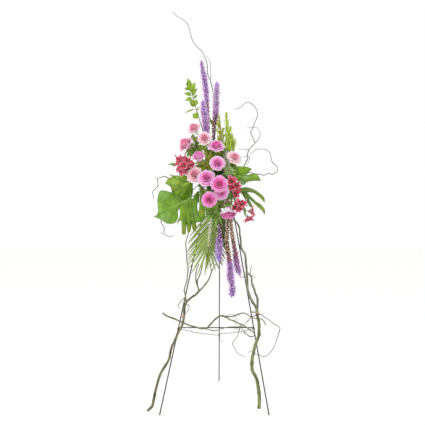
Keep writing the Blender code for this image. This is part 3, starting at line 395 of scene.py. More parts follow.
def grownMaterial(name, values, streak, streakScale, mottle, mottleScale, bump):
    # Anything grown: the colour of its points, broken by streaks that run its length and by mottling.
    # streak and mottle are how far each one darkens and lightens; their scales are per unit and per metre.
    material, tree, shader = newMaterial(name, values)
    tint = addNode(tree, "ShaderNodeAttribute", attribute_name="tint")
    form = addNode(tree, "ShaderNodeAttribute", attribute_name="form")
    place = addNode(tree, "ShaderNodeTexCoord")
    stretched = addNode(tree, "ShaderNodeMapping", {"Scale": streakScale}, {"Vector": form.outputs["Vector"]})
    fibre = addNode(tree, "ShaderNodeTexNoise", {"Scale": 1.0, "Detail": 4.0, "Roughness": 0.6},
                    {"Vector": stretched.outputs["Vector"]})
    patch = addNode(tree, "ShaderNodeTexNoise", {"Scale": mottleScale, "Detail": 3.0},
                    {"Vector": place.outputs["Object"]})
    shares = {}
    for index, (texture, depth) in enumerate(((fibre, streak), (patch, mottle))):
        limits = {"From Min": 0.3, "From Max": 0.7, "To Min": 1 - depth, "To Max": 1 + depth}
        share = addNode(tree, "ShaderNodeMapRange", limits, {"Value": texture.outputs["Fac"]})
        shares[index] = share.outputs[0]
    both = addNode(tree, "ShaderNodeMath", {}, shares, operation="MULTIPLY")
    colour = addNode(tree, "ShaderNodeVectorMath", {}, {0: tint.outputs["Color"], "Scale": both.outputs[0]},
                     operation="SCALE")
    tree.links.new(colour.outputs[0], shader.inputs["Base Color"])
    relief = addNode(tree, "ShaderNodeBump", {"Strength": bump, "Distance": 0.0006},
                     {"Height": fibre.outputs["Fac"]})
    tree.links.new(relief.outputs["Normal"], shader.inputs["Normal"])
    return material


# Rose petal: soft cells that scatter light, with a velvet bloom and faint lengthwise veins
petalSkin = grownMaterial(
    "rose_petal", {"Roughness": 0.55, "IOR": 1.4, "Sheen Weight": 0.2, "Sheen Roughness": 0.4,
                   "Subsurface Weight": 0.35, "Subsurface Radius": (1.0, 0.38, 0.5), "Subsurface Scale": 0.006},
    0.07, (3.0, 16.0, 9.0), 0.05, 90.0, 0.10)
# Alstroemeria tepal: thinner, with a satin gloss
lilySkin = grownMaterial(
    "alstroemeria_tepal", {"Roughness": 0.5, "IOR": 1.35, "Subsurface Weight": 0.05,
                           "Subsurface Radius": (0.9, 0.25, 0.2), "Subsurface Scale": 0.002},
    0.16, (2.0, 9.0, 5.0), 0.08, 140.0, 0.15)
# Large leaf: waxy cuticle over a cell pattern, so a broad soft gloss
leafSkin = grownMaterial(
    "waxy_leaf", {"Roughness": 0.42, "IOR": 1.40, "Coat Weight": 0.05, "Coat Roughness": 0.35},
    0.10, (40.0, 40.0, 1.0), 0.16, 42.0, 0.10)
# Small leaves and palm leaflets: leathery, with parallel veins
bladeSkin = grownMaterial(
    "leathery_leaflet", {"Roughness": 0.5, "IOR": 1.40}, 0.16, (1.2, 7.0, 3.0), 0.14, 70.0, 0.2)
# Green stem: a fibrous skin, slightly glossy
stemSkin = grownMaterial(
    "green_stem", {"Roughness": 0.5, "IOR": 1.45}, 0.12, (900.0, 900.0, 60.0), 0.12, 60.0, 0.2)
# Liatris: dry thread-like florets, matt
threadSkin = grownMaterial(
    "liatris_thread", {"Roughness": 0.75, "IOR": 1.4, "Sheen Weight": 0.25},
    0.18, (900.0, 900.0, 130.0), 0.16, 160.0, 0.1)
# Willow bark: dry, with lengthwise furrows about 2 mm apart and grey patches
barkSkin = grownMaterial(
    "willow_bark", {"Roughness": 0.8, "IOR": 1.45}, 0.34, (420.0, 420.0, 34.0), 0.22, 26.0, 0.9)
# Thin willow twig: smoother young bark
twigSkin = grownMaterial(
    "willow_twig", {"Roughness": 0.62, "IOR": 1.45}, 0.22, (700.0, 700.0, 60.0), 0.2, 40.0, 0.5)
# Raffia and jute string: dry plant fibre, matt and stringy
fibreSkin = grownMaterial(
    "plant_fibre", {"Roughness": 0.85, "IOR": 1.45, "Sheen Weight": 0.3},
    0.3, (1500.0, 1500.0, 90.0), 0.15, 120.0, 0.8)


def manMadeMaterial(name, values, texture, fineValues, broadValues, stops, bump, distance):
    # Anything dipped, foamed or moulded: a broad noise runs between two colours, a fine texture gives relief.
    material, tree, shader = newMaterial(name, values)
    place = addNode(tree, "ShaderNodeTexCoord")
    fine = addNode(tree, texture, fineValues, {"Vector": place.outputs["Object"]})
    broad = addNode(tree, "ShaderNodeTexNoise", broadValues, {"Vector": place.outputs["Object"]})
    tones = addNode(tree, "ShaderNodeValToRGB", {}, {"Fac": broad.outputs["Fac"]})
    for element, (position, code) in zip(tones.color_ramp.elements, stops):
        element.position = position
        element.color = (*linear(code), 1.0)
    tree.links.new(tones.outputs["Color"], shader.inputs["Base Color"])
    relief = addNode(tree, "ShaderNodeBump", {"Strength": bump, "Distance": distance},
                     {"Height": fine.outputs[0]})
    tree.links.new(relief.outputs["Normal"], shader.inputs["Normal"])
    return material


# Black stove enamel on steel wire: dipped and baked, so a soft gloss with an orange-peel surface
enamel = manMadeMaterial(
    "black_enamelled_wire", {"Roughness": 0.42, "Coat Weight": 0.12, "Coat Roughness": 0.25},
    "ShaderNodeTexNoise", {"Scale": 900.0, "Detail": 2.0}, {"Scale": 30.0, "Detail": 5.0},
    ((0.3, "#060709"), (0.75, "#15171B")), 0.12, 0.0003)
# Wet phenolic foam: open cells of about 0.5 mm, drawn at 1.5 mm so that they show, dark where wet
foamSkin = manMadeMaterial(
    "wet_floral_foam", {"Roughness": 0.95, "IOR": 1.35},
    "ShaderNodeTexVoronoi", {"Scale": 650.0}, {"Scale": 22.0, "Detail": 3.0},
    ((0.3, "#22452A"), (0.7, "#3C6B40")), 0.8, 0.0008)
# Injection-moulded green polypropylene: an even fine grain and a low gloss
plastic = manMadeMaterial(
    "moulded_green_plastic", {"Roughness": 0.42, "IOR": 1.49},
    "ShaderNodeTexNoise", {"Scale": 1200.0, "Detail": 2.0}, {"Scale": 16.0, "Detail": 2.0},
    ((0.35, "#1D4A2A"), (0.65, "#245633")), 0.15, 0.0002)
print("materials made")


# The camera, the floor and the light

studio = {
    "lens": 51.16,
    "sensor": 36.0,
    "camera": (-0.005, -3.2775, 1.0125),
    "sky": 1.0,
    "keyEnergy": 40.0,
    "keyPlace": (-2.2, -3.2, 3.4),
    "keySize": 1.8,
    "keyAim": (0.0, 0.0, 1.1),
    "floorReach": 14.0,
    "floor": "#FEFEFD",
}


def makeStudio():
    scene = bpy.context.scene
    camera = bpy.data.objects.new("camera", bpy.data.cameras.new("camera"))
    camera.data.lens = studio["lens"]
    camera.data.sensor_width = studio["sensor"]
    camera.location = studio["camera"]
    camera.rotation_euler = (math.radians(90), 0.0, 0.0)
    scene.collection.objects.link(camera)
    scene.camera = camera
    scene.view_settings.view_transform = "Standard"

    reach = studio["floorReach"]
    mesh = bpy.data.meshes.new("floor")
    corners = [(-reach, -reach, 0), (reach, -reach, 0), (reach, reach, 0), (-reach, reach, 0)]
    mesh.from_pydata(corners, [], [(0, 1, 2, 3)])
    floor = bpy.data.objects.new("floor", mesh)
    # matt pale paint, so that the floor shows soft shadows only
    paint = {"Roughness": 0.9, "Base Color": (*linear(studio["floor"]), 1.0)}
    mesh.materials.append(newMaterial("pale_floor", paint)[0])
    scene.collection.objects.link(floor)

    key = bpy.data.objects.new("key", bpy.data.lights.new("key", "AREA"))
    key.data.energy = studio["keyEnergy"]
    key.data.size = studio["keySize"]
    key.location = studio["keyPlace"]
    aim = Vector(studio["keyAim"]) - Vector(studio["keyPlace"])
    key.rotation_euler = aim.to_track_quat("-Z", "Y").to_euler()
    scene.collection.objects.link(key)

    world = bpy.data.worlds.new("studio")
    world.use_nodes = True
    sky = world.node_tree.nodes["Background"]
    sky.inputs["Color"].default_value = (1.0, 1.0, 1.0, 1.0)
    sky.inputs["Strength"].default_value = studio["sky"]
    scene.world = world


makeStudio()
print("studio ready")


# The easel: enamelled wire, with its joints brazed

wireSides = 20
beadTint = "#2E3034"


def beads(spots, radius):
    # Brazed joints: a bead of radius r sqrt(1 - t^2) along a short path at each spot, never quite shut.
    t = np.linspace(-1.0, 1.0, 13)
    bulge = radius * (0.06 + 0.94 * np.sqrt(np.clip(1 - t**2, 0, 1)))
    return [tubes(t[:, None] * unit(np.asarray(along)) * radius * 1.3 + spot, bulge, 16, beadTint)
            for spot, along in spots]


def flatFoot(leg, along):
    # Slides a leg's first ring along the leg until it lies on the floor.
    first = leg["points"][:wireSides]
    first -= along * (first[:, 2:3] / along[2])


def makeEasel():
    wire = easel["wire"]
    for name, leg in (("front_leg_left", leftLeg), ("front_leg_right", rightLeg)):
        along = unit(leg(1.0) - leg(0.0))
        bar = np.linspace(leg(0.002), leg(easel["top"]), 60)
        dome = bar[-1] + along * np.linspace(0.0, 0.0024, 5)[1:, None]
        path = np.concatenate((leg(0.0)[None] - along * 0.001, bar, dome))
        radii = np.full(len(path), wire)
        radii[-5:] = wire * np.array((1.0, 0.93, 0.78, 0.5, 0.12))
        made = tubes(path, radii, wireSides, easel["tint"])
        points = made["points"]
        low = points[:, 2] < 0.0
        points[low] -= along * (points[low, 2:3] / along[2])
        flatFoot(made, along)
        makePiece(name + "_wire", [made], [enamel], name)
    inset = np.array((wire * 1.15 + easel["gap"], 0.0, 0.0))
    for name, height, radius in (("crossbar", easel["crossbar"], wire * 0.85),
                                 ("top_bar", easel["hinge"], easel["barWire"])):
        left = leftLeg(height) + inset
        right = rightLeg(height) - inset
        parts = [tubes(np.linspace(left, right, 40), radius, 18, easel["tint"])]
        reach = unit(right - left)
        ends = [(left + reach * radius * 0.75, reach), (right - reach * radius * 0.75, reach)]
        parts += beads(ends, radius * 1.35)
        makePiece(name + "_wire", parts, [enamel], name)
    return (leftLeg(easel["hinge"]) + rightLeg(easel["hinge"])) / 2


def rearPoint(hinge, z):
    # The middle of the rear leg at a height.
    footY = easel["rearFoot"] - photo["shift"][1]
    share = (hinge[2] - np.asarray(z, dtype=float)) / hinge[2]
    y = hinge[1] + (footY - hinge[1]) * share
    return np.stack(np.broadcast_arrays(hinge[0], y, z), axis=-1)


def makeRearLeg(hinge):
    # The eye is a full turn of wire about the top bar, brazed to the straight leg.
    steps, sides = 48, 16
    turn = np.linspace(0.0, 2 * math.pi, steps + 1)
    ring = np.stack((np.zeros_like(turn), np.cos(turn), np.sin(turn)), axis=1) * easel["eyeRing"] + hinge
    angle = np.linspace(0.0, 2 * math.pi, sides, endpoint=False)
    outward = unit(ring[:-1] - hinge)
    offset = outward[:, None] * np.cos(angle)[:, None] + np.array((1.0, 0.0, 0.0)) * np.sin(angle)[:, None]
    points = ring[:-1, None] + offset * easel["eyeWire"]
    base = gridFaces(steps + 1, sides, closed=True) % (steps * sides)
    tint = spread(linear(easel["tint"]), points.shape[:2])
    eye = part(points, [base[:, ::-1]], tint, np.zeros_like(points))
    foot = rearPoint(hinge, 0.0)
    along = unit(hinge - foot)
    start = hinge - along * (easel["eyeRing"] + easel["eyeWire"] * 0.6)
    path = np.concatenate((foot[None] - along * 0.001, np.linspace(foot + along * 0.002, start, 60)))
    leg = tubes(path, easel["wire"], wireSides, easel["tint"])
    flatFoot(leg, along)
    weld = beads([(start - along * 0.001, along)], easel["wire"] * 1.35)
    makePiece("rear_leg_wire", [eye, leg] + weld, [enamel], "rear_leg", body="rear_leg")


# The string's colour, its lay, the spacing of its points, and how far under the crossbar it is tied
stay = {"tint": "#5C5042", "yarns": 2, "turn": 0.009, "sides": 6, "spacing": 0.0012, "below": 0.006}


def twist(path, radius):
    # Laid string: each yarn goes round the path's middle at half the radius, once in each turn's length.
    tangent = unit(np.gradient(path, axis=0))
    guide = np.eye(3)[np.argmin(np.abs(tangent).max(axis=0))]
    side = unit(np.cross(tangent, guide))
    other = np.cross(tangent, side)
    start = np.arange(stay["yarns"])[:, None] * 2 * math.pi / stay["yarns"]
    angle = (runLength(path)[None] * 2 * math.pi / stay["turn"] + start)[..., None]
    yarns = path[None] + (side[None] * np.cos(angle) + other[None] * np.sin(angle)) * radius * 0.5
    return tubes(yarns, radius * 0.56, stay["sides"], stay["tint"])


def makeStay(hinge):
    # Tied at both front legs and looped round the rear leg, as in the solid.
    knot = rearPoint(hinge, easel["stay"])
    tied = easel["crossbar"] - stay["below"]
    away = easel["wire"] + easel["string"] + easel["gap"] * 2
    turn = np.radians(30 + 300 * np.arange(9) / 8)
    middle = rearPoint(hinge, knot[2] + 0.0012 * (np.arange(9) - 4))
    loop = middle + np.stack((-np.sin(turn), -np.cos(turn), np.zeros(9)), axis=1) * (away * 1.07)
    arms = []
    for leg, end in ((leftLeg, loop[0]), (rightLeg, loop[-1])):
        seat = leg(tied, away)
        arms.append([seat, (seat + end) / 2 - up * 0.006])
    path = smoothPath(np.array(arms[0] + list(loop) + arms[1][::-1]), stay["spacing"])
    drops = np.array(((0.0, 0.0, 0.0), (0.004, 0.004, -0.012), (0.002, 0.006, -0.030), (0.012, 0.006, -0.044),
                      (0.026, 0.006, -0.040)))
    tail = smoothPath(loop[4] + drops, stay["spacing"])
    parts = [twist(path, easel["string"] * 1.25), twist(tail, easel["string"] * 0.9)]
    # knots: two turns of the string round each front leg
    angle = np.linspace(0.0, 4 * math.pi, 60)[:, None]
    rise = (angle / (4 * math.pi) - 0.5) * 0.0052
    for leg in (leftLeg, rightLeg):
        axis = unit(leg(1.0) - leg(0.0))
        sideways = unit(np.cross(axis, (0.0, 1.0, 0.0)))
        outward = np.cross(sideways, axis)
        coil = leg(tied) + (sideways * np.cos(angle) + outward * np.sin(angle)) * away + axis * rise
        parts.append(tubes(coil, easel["string"] * 0.95, 8, stay["tint"]))
    piece = makePiece("stay_string", parts, [fibreSkin], "stay_cord", body=None)
    end = (knot[0], knot[1] - 0.006, knot[2])
    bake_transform(piece)


hinge = makeEasel()
makeRearLeg(hinge)
makeStay(hinge)
print("easel made")


# Roses

def stemToFoam(start, leaving, hole, radius, tint, pull=0.03, finish=1):
    # A stem from a bloom or fork into its hole in the foam, with a radius that wavers a little.
    mouth, inward = foamHole(*hole)
    path = bezier(start, leaving, mouth, inward * pull, 22)
    inside = mouth + inward * np.linspace(0.004, foam["hole"] - easel["gap"], 4)[:, None]
    path = np.concatenate((path, inside))
    knots = 1.0 + 0.06 * np.sin(np.arange(len(path)) * 1.7)
    return tubes(path, radius * knots, 10, tint, finish)


rose = {
    # petals, how far out their rims stand and how high, from the heart outwards
    "whorls": ((3, 0.10, 0.60), (4, 0.22, 0.54), (5, 0.37, 0.43), (5, 0.55, 0.28), (5, 0.78, 0.08),
               (6, 1.00, -0.12)),
    # the green swelling under the petals: heights and radii, in rose radii
    "hip": ((-1.08, -1.02, -0.92, -0.82, -0.70, -0.60), (0.08, 0.14, 0.20, 0.17, 0.22, 0.16)),
    "rows": 12,
    "columns": 13,
    "thickness": 0.0006,
    "stem": 0.0025,
    "stemTint": "#5C8433",
    "calyxTint": "#6B9440",
    "sepalTints": ("#5E8A35", "#86A85C", "#8FB06A", "#A9C28A"),  # face at root and tip, back at root and tip
    "cupped": ("shell",),  # the rose seen from the side, whose outer petals stand up
    "pale": ("lightPink", "shell"),
    "colours": {  # heart, main, rim, back of the outer petals, shadow at the root, outermost rims
        "pink": ("#FF5CAC", "#F868C4", "#FFC8E8", "#F896D0", "#C2246E", "#FBA6DA"),
        "palePink": ("#FF6CBC", "#FC86D8", "#FFDEF6", "#FFC0EC", "#C83890", "#FFD2EA"),
        "brightPink": ("#FF80C8", "#FFB0E6", "#FFE2F6", "#FFC6F0", "#F674B8", "#FFD6EE"),
        "blush": ("#F87CAC", "#FA9EC6", "#FFE8F2", "#FCCCE0", "#D05C8C", "#FFDCE6"),
        "lightPink": ("#FF9CB4", "#FFBCD0", "#FFE8EC", "#FFDCE4", "#F484A0", "#FFD6D8"),
        "shell": ("#E468A8", "#EA7CB8", "#FDD2EC", "#FFE8F6", "#C44C90", "#FDD2EC"),
    },
}
# column, row, depth, radius, the way it faces, colours, how open, how ruffled, and its hole in the foam
roses = {
    "rose_1": (193.4, 127.2, 0.03, 0.034, (-0.4, -0.72, 0.58), "lightPink", 0.95, 2, ("top", -0.046, -0.02)),
    "rose_2": (204.2, 137.4, 0.0, 0.033, (-0.1, -0.92, 0.34), "lightPink", 1.0, 2.2, ("top", -0.026, -0.026)),
    "rose_3": (184.6, 143.2, 0.02, 0.045, (-0.66, -0.4, 0.62), "blush", 0.95, 1.4, ("left", -0.024, 0.06)),
    "rose_4": (216.3, 144.8, 0.0, 0.038, (0.05, -0.72, 0.68), "palePink", 1.0, 1.2, ("front", 0.008, 0.076)),
    "rose_5": (198.4, 156, -0.014, 0.04, (-0.14, -0.62, 0.77), "brightPink", 0.74, 0.9,
        ("front", -0.03, 0.076)),
    "rose_6": (217.5, 162.6, -0.03, 0.0365, (0.03, -0.94, 0.34), "palePink", 0.97, 0.6, ("front", 0.016, 0.05)),
    "rose_7": (235.2, 156.4, 0.0, 0.032, (0.35, -0.8, 0.46), "lightPink", 1.1, 3.2, ("front", 0.044, 0.074)),
    "rose_8": (193.8, 174.4, -0.002, 0.0385, (-0.32, -0.92, 0.16), "lightPink", 1.0, 2.2,
        ("front", -0.044, 0.036)),
    "rose_9": (206.2, 177.2, -0.03, 0.041, (-0.12, -0.93, 0.32), "palePink", 1.0, 1.8,
        ("front", -0.014, 0.024)),
    "rose_10": (219.4, 183.4, -0.082, 0.0415, (0.05, -0.97, 0.2), "pink", 0.97, 0.8, ("front", 0.016, 0.004)),
    "rose_11": (221.8, 192.6, -0.012, 0.0365, (0.25, -0.92, -0.2), "palePink", 1.0, 1.0,
        ("front", 0.034, -0.03)),
    "rose_12": (209, 199.4, -0.055, 0.0385, (-0.1, -0.97, 0.14), "pink", 0.95, 0.6, ("front", -0.006, -0.048)),
    "rose_13": (228, 214.6, -0.02, 0.052, (0.06, -0.22, -0.97), "shell", 0.8, 0.6, ("front", 0.03, -0.078)),
}


def rosePetals(radius, openness, ruffle, colours):
    # Whorls of petals round a heart. Along a petal, v from root to rim, the distance from the axis grows as a
    # quarter sine mixed with a square, so that inner petals stand up as walls and outer ones flare, and the
    # height runs up to the rim and falls to the corners. One edge of each lies over its neighbour, and the
    # outer rims roll back to a blunt point.
    whorls = np.array(rose["whorls"])
    place = np.repeat(np.arange(len(whorls)), whorls[:, 0].astype(int))
    count = len(place)
    each, s, high = (whorls[place, column][:, None, None] for column in range(3))
    within = np.where(place > 0, whorls[place - 1, 1], 0.0)[:, None, None]
    order = (np.arange(count) - np.searchsorted(place, place))[:, None, None]
    v, u = sheetGrid(rose["rows"], rose["columns"])
    v = v**0.9
    luck = rng.uniform(-1.0, 1.0, (5, count, 1, 1))
    turn = order * 2 * np.pi / each + place[:, None, None] * 2.4 + 0.14 * luck[0]
    width = (0.35 + 0.65 * np.sin(np.pi / 2 * np.clip(v / 0.6, 0, 1))) * (1 - 0.16 * smooth(0.85, 1.0, v))
    angle = turn + u * width * 1.42 * np.pi / each
    rim = s * (1 + 0.05 * luck[1]) * (1 + 0.95 * (openness - 1) * s)
    rim = rim + 0.020 * (order - each / 2) / each
    root = 0.03 + 0.13 * s
    flare = 0.90 - 0.56 * s * openness
    reach = flare * np.sin(np.pi / 2 * v) ** 0.8 + (1 - flare) * v**2.4
    out = root + (rim - root) * reach
    out = out * (1 - 0.38 * (1 - smooth(0.11, 0.35, s)) * v**4)
    cup = colours in rose["cupped"]
    high = np.minimum(high, 0.30) if cup else high
    high = high + 0.035 * luck[2] + 0.95 * (1 - openness) * s
    height = -0.82 + (high + 0.82) * v**0.85
    height = height - (0.10 + 0.08 * s) * np.abs(u) ** 2.4 * v**1.5
    roll = smooth(0.80, 1.0, v) ** 1.4 * s**1.3 * smooth(0.55, 1.0, openness)
    out = out + 0.06 * roll + 0.045 * u * (0.3 + 0.7 * s)
    height = height - 0.11 * roll
    out = out + 0.040 * smooth(0.70, 1.0, np.abs(u)) * s * v
    point = ruffle * 0.045 * (1 - np.abs(u)) ** 2.5 * v**9 * s
    out = out + point + ruffle * 0.016 * np.sin(6 * u + 5 * luck[3]) * v**4 * (0.2 + s)
    height = height + point * 0.4 + ruffle * 0.022 * np.sin(5 * u + 5 * luck[4]) * v**4 * (0.2 + s)
    points = aroundAxis(out, 0.0, height, angle) * radius
    heart, main, pale, back, shade, outermost = (linear(code) for code in rose["colours"][colours])
    # shown runs over the part that the whorl inside leaves in view: shadow, body, then a pale rim
    shown = np.clip((out - within) / (s - within), 0.0, 1.0)
    s, v, u, shown = np.broadcast_arrays(s, v, u, shown)
    front = mixTint(heart, main, smooth(0.15, 0.55, s))
    front = mixTint(front, pale, 0.50 * smooth(0.35, 0.9, shown) * smooth(0.4, 1.0, s))
    dark = np.maximum(1 - smooth(0.05, 0.55, shown), 1 - smooth(0.45, 0.90, v) * np.where(s > 0.7, 2.0, 1.0))
    front = mixTint(front, shade, (0.06 + 0.66 * smooth(0.15, 0.7, s)) * np.clip(dark, 0.0, 1.0))
    border = np.maximum(smooth(0.93, 0.985, v), 0.5 * smooth(0.84, 1.0, np.abs(u)) * smooth(0.6, 0.9, v))
    front = mixTint(front, pale, border * (0.70 + 0.25 * s))
    front = mixTint(front, outermost, 0.42 * smooth(0.85, 1.0, s) * smooth(0.3, 0.9, v))
    behind = mixTint(main, back, smooth(0.82, 0.98, s) if cup else smooth(0.2, 0.9, s) * smooth(0.1, 0.7, v))
    behind = mixTint(heart, behind, smooth(0.2, 0.6, s))
    form = np.stack((v, u, s * 7.0), axis=-1)
    return blades(points, rose["thickness"] * (1.0 - 0.35 * v), behind, front, form)


def sepals(radius):
    # Five narrow green blades that start under the bloom and bend back, with a pointed end.
    v, u = sheetGrid(9, 5)
    turn = np.arange(5)[:, None, None] * 2 * np.pi / 5 + rng.uniform(-0.15, 0.15, (5, 1, 1))
    bend = rng.uniform(0.7, 1.3, (5, 1, 1))
    out = 0.14 + 0.52 * v
    height = -0.86 + 0.30 * v - 0.42 * v**2.4 * bend
    half = 0.13 * np.sin(np.pi * np.clip(v * 0.86 + 0.14, 0, 1)) ** 0.8 * (1 - 0.55 * v) + 0.008
    across = u * half
    points = aroundAxis(out, across, height + 0.25 * np.abs(across), turn) * radius
    v, u = np.broadcast_arrays(v, u)
    root, tip, rootBack, tipBack = (linear(code) for code in rose["sepalTints"])
    return blades(points, 0.0008, mixTint(root, tip, v), mixTint(rootBack, tipBack, v), finish=1)


def makeRoses():
    for name, (column, row, depth, radius, direction, colours, openness, ruffle, hole) in roses.items():
        place = facing(seen((column, row, depth)), direction, rng.uniform(0, 2 * math.pi))
        axis = place[0] @ up
        petals = rosePetals(radius, openness, ruffle, colours)
        leaves = sepals(radius)
        for sheet in (petals, leaves):
            sheet["points"] = placed(sheet["points"], place)
        core = upAxis(-1.08, -0.60, 12)
        bulge = np.interp(core[:, 2], *rose["hip"])
        calyx = tubes(placed(core * radius, place), bulge * radius, 14, rose["calyxTint"], 1)
        stem = stemToFoam(place[1] - axis * radius, axis * -0.045, hole, rose["stem"], rose["stemTint"])
        makePiece(name + "_bloom", [petals, leaves, calyx, stem], [petalSkin, stemSkin], name)


makeRoses()
print("roses made")


# Flower spikes

golden = math.radians(137.5)  # from one floret or leaf to the next round a stem
spike = {"spacing": 0.003, "stem": 0.0022}


def wayAlong(spots, radii):
    # A spike's middle line in metres with its radius as a fourth value.
    return smoothPath(np.concatenate((seen(spots), np.asarray(radii)[:, None]), axis=1), spike["spacing"])


def spikeStem(way, hole, tint):
    # From a spike's lower end into the foam.
    back = unit(way[0, :3] - way[1, :3])
    return stemToFoam(way[0, :3], back * 0.03, hole, spike["stem"], tint, pull=0.035)


def around(way, count):
    # Places that wind up a spike: foot on the axis, outward, along, radius and share of the length.
    share = np.linspace(0.0, 1.0, count)
    step = share * (len(way) - 1)
    low = np.minimum(step.astype(int), len(way) - 2)
    at = mixTint(way[low], way[low + 1], step - low)
    along = unit(way[low + 1, :3] - way[low, :3])
    guide = np.array((0.0, 1.0, 0.0))
    side = unit(np.cross(along, guide))
    other = np.cross(along, side)
    turn = np.arange(count)[:, None] * golden
    outward = side * np.cos(turn) + other * np.sin(turn)
    return at[:, :3], outward, along, at[:, 3], share


def ramp(share, stops):
    # Colours between stops of position and hex.
    places = [place for place, _ in stops]
    colours = np.array([linear(code) for _, code in stops])
    return np.stack([np.interp(share, places, colours[:, channel]) for channel in range(3)], axis=-1)


def buds(foot, outward, along, reach, girth, tint, lean, points=6, sides=6):
    # Small ovals: each runs out and along from its foot, with a radius that follows a half sine.
    v = np.linspace(0.0, 1.0, points)[None, :, None]
    way = unit(outward * (1 - lean) + along * lean)
    bend = outward * 0.18
    paths = foot[:, None] + (way[:, None] * v + bend[:, None] * v * (1 - v) * 2) * reach[:, None, None]
    profile = np.sin(np.pi * np.linspace(0.06, 0.95, points)) ** 0.7
    return tubes(paths, girth[:, None] * profile, sides, tint[:, None])


def threads(foot, outward, along, reach, tint):
    # Curled styles: from a floret each thread runs outward, spreads by chance and curls along the stem.
    each = liatrisLook["threads"]
    count = len(foot) * each
    foot, outward, along = (np.repeat(value, each, axis=0) for value in (foot, outward, along))
    reach = np.repeat(reach, each) * rng.uniform(0.75, 1.15, count)
    across = np.cross(outward, along)
    fan = rng.normal(0.0, 0.55, (count, 1))
    climb = rng.normal(0.25, 0.55, (count, 1))
    curl = rng.uniform(-0.9, 0.9, (count, 1))
    v = np.linspace(0.0, 1.0, 6)[None, :, None]
    start = unit(outward + across * fan + along * climb)[:, None]
    sweep = unit(across * curl + along * rng.uniform(-0.6, 1.0, (count, 1)))[:, None]
    paths = foot[:, None] + (start * v + sweep * 0.42 * v**2.2) * reach[:, None, None]
    radii = liatrisLook["thread"] * np.linspace(1.3, 0.8, 6)[None]
    deep, pale = (linear(code) for code in liatrisLook["threadTints"])
    shade = np.repeat(tint, each, axis=0)[:, None]
    shade = mixTint(deep, shade, smooth(0.0, 0.45, v[..., 0])) * (1 - 0.5 * v**3) + pale * 0.5 * v**3
    shade = shade * np.repeat(rng.uniform(0.70, 1.60, len(foot) // each), each)[:, None, None]
    return tubes(paths, np.broadcast_to(radii, (count, 6)), 3, shade)


def leafBlades(base, tip, width, normal, tints, rows=9, columns=5, belly=0.45, bow=0.10, fold=0.22,
               thickness=0.0007, finish=0, fullness=1.0):
    # Pointed blades from base to tip. Half the width at v follows a sine whose crest lies at belly; the middle
    # line bows towards normal by a half sine, and both halves rise from the rib by the fold.
    base, tip, normal = (np.atleast_2d(np.asarray(value, dtype=float)) for value in (base, tip, normal))
    count = len(base)
    v, u = (value[..., None] for value in sheetGrid(rows, columns))
    along = tip - base
    length = np.linalg.norm(along, axis=-1)[:, None, None, None]
    normal = unit(normal - unit(along) * (normal * unit(along)).sum(axis=-1, keepdims=True))
    across = np.cross(unit(along), normal)[:, None, None]
    normal = normal[:, None, None]
    stretch = np.log(0.5) / np.log(belly)
    half = np.sin(np.pi * np.clip(v, 0.0, 1.0) ** stretch) ** fullness * 0.5
    width = np.broadcast_to(np.asarray(width, dtype=float), (count,))[:, None, None, None]
    half = np.maximum(half, 0.015) * width
    lift = bow * length * np.sin(np.pi * v) * rng.uniform(0.5, 1.4, (count, 1, 1, 1))
    droop = -0.06 * length * v**2 * rng.uniform(0.0, 1.5, (count, 1, 1, 1))
    ripple = 0.06 * half * np.sin(9 * v + 6 * rng.random((count, 1, 1, 1))) * u
    middle = base[:, None, None] + along[:, None, None] * v + across * u * half
    middle = middle + normal * (lift + droop + fold * np.abs(u) * half + ripple)
    dark, lit, rib = (linear(code) for code in tints)
    luck = rng.random((count, 1, 1))
    v, u = (np.broadcast_to(value[..., 0], (count, rows, columns)) for value in (v, u))
    # painted light and shade: each blade gets its own share between the dark and the lit colour, and grows
    # lighter towards its tip
    tint = mixTint(dark, lit, 0.10 + 0.70 * luck + 0.25 * v)
    tint = mixTint(tint, rib, 0.75 * (1 - smooth(0.0, 0.30, np.abs(u))) * (1 - 0.5 * v))
    form = np.stack((v, u, luck * 5 + 0 * v), axis=-1)
    return blades(middle, thickness, tint, mixTint(tint, rib, 0.45), form, finish)


liatrisLook = {
    "spacing": 0.0026,
    "threads": 15,
    "thread": 0.00058,
    "threadTints": ("#B07CDC", "#FCECFF"),  # mixed in at the root and at the tip
    "bud": 0.0036,
    "bract": 0.0024,
    "bractTint": "#F6ECDC",
    "reach": 1.35,
    "stalkTint": "#7E6C78",
    "stemTint": "#6E8038",
    # small brown leaves: tip and base, width and colours
    "leaves": {"liatris_up_right": ((209.9, 118.4, 0.138), (214.2, 127.6, 0.140))},
    "leafWidth": 0.019,
    "leafTints": ("#5C5618", "#8C843A", "#A49A5C"),
}
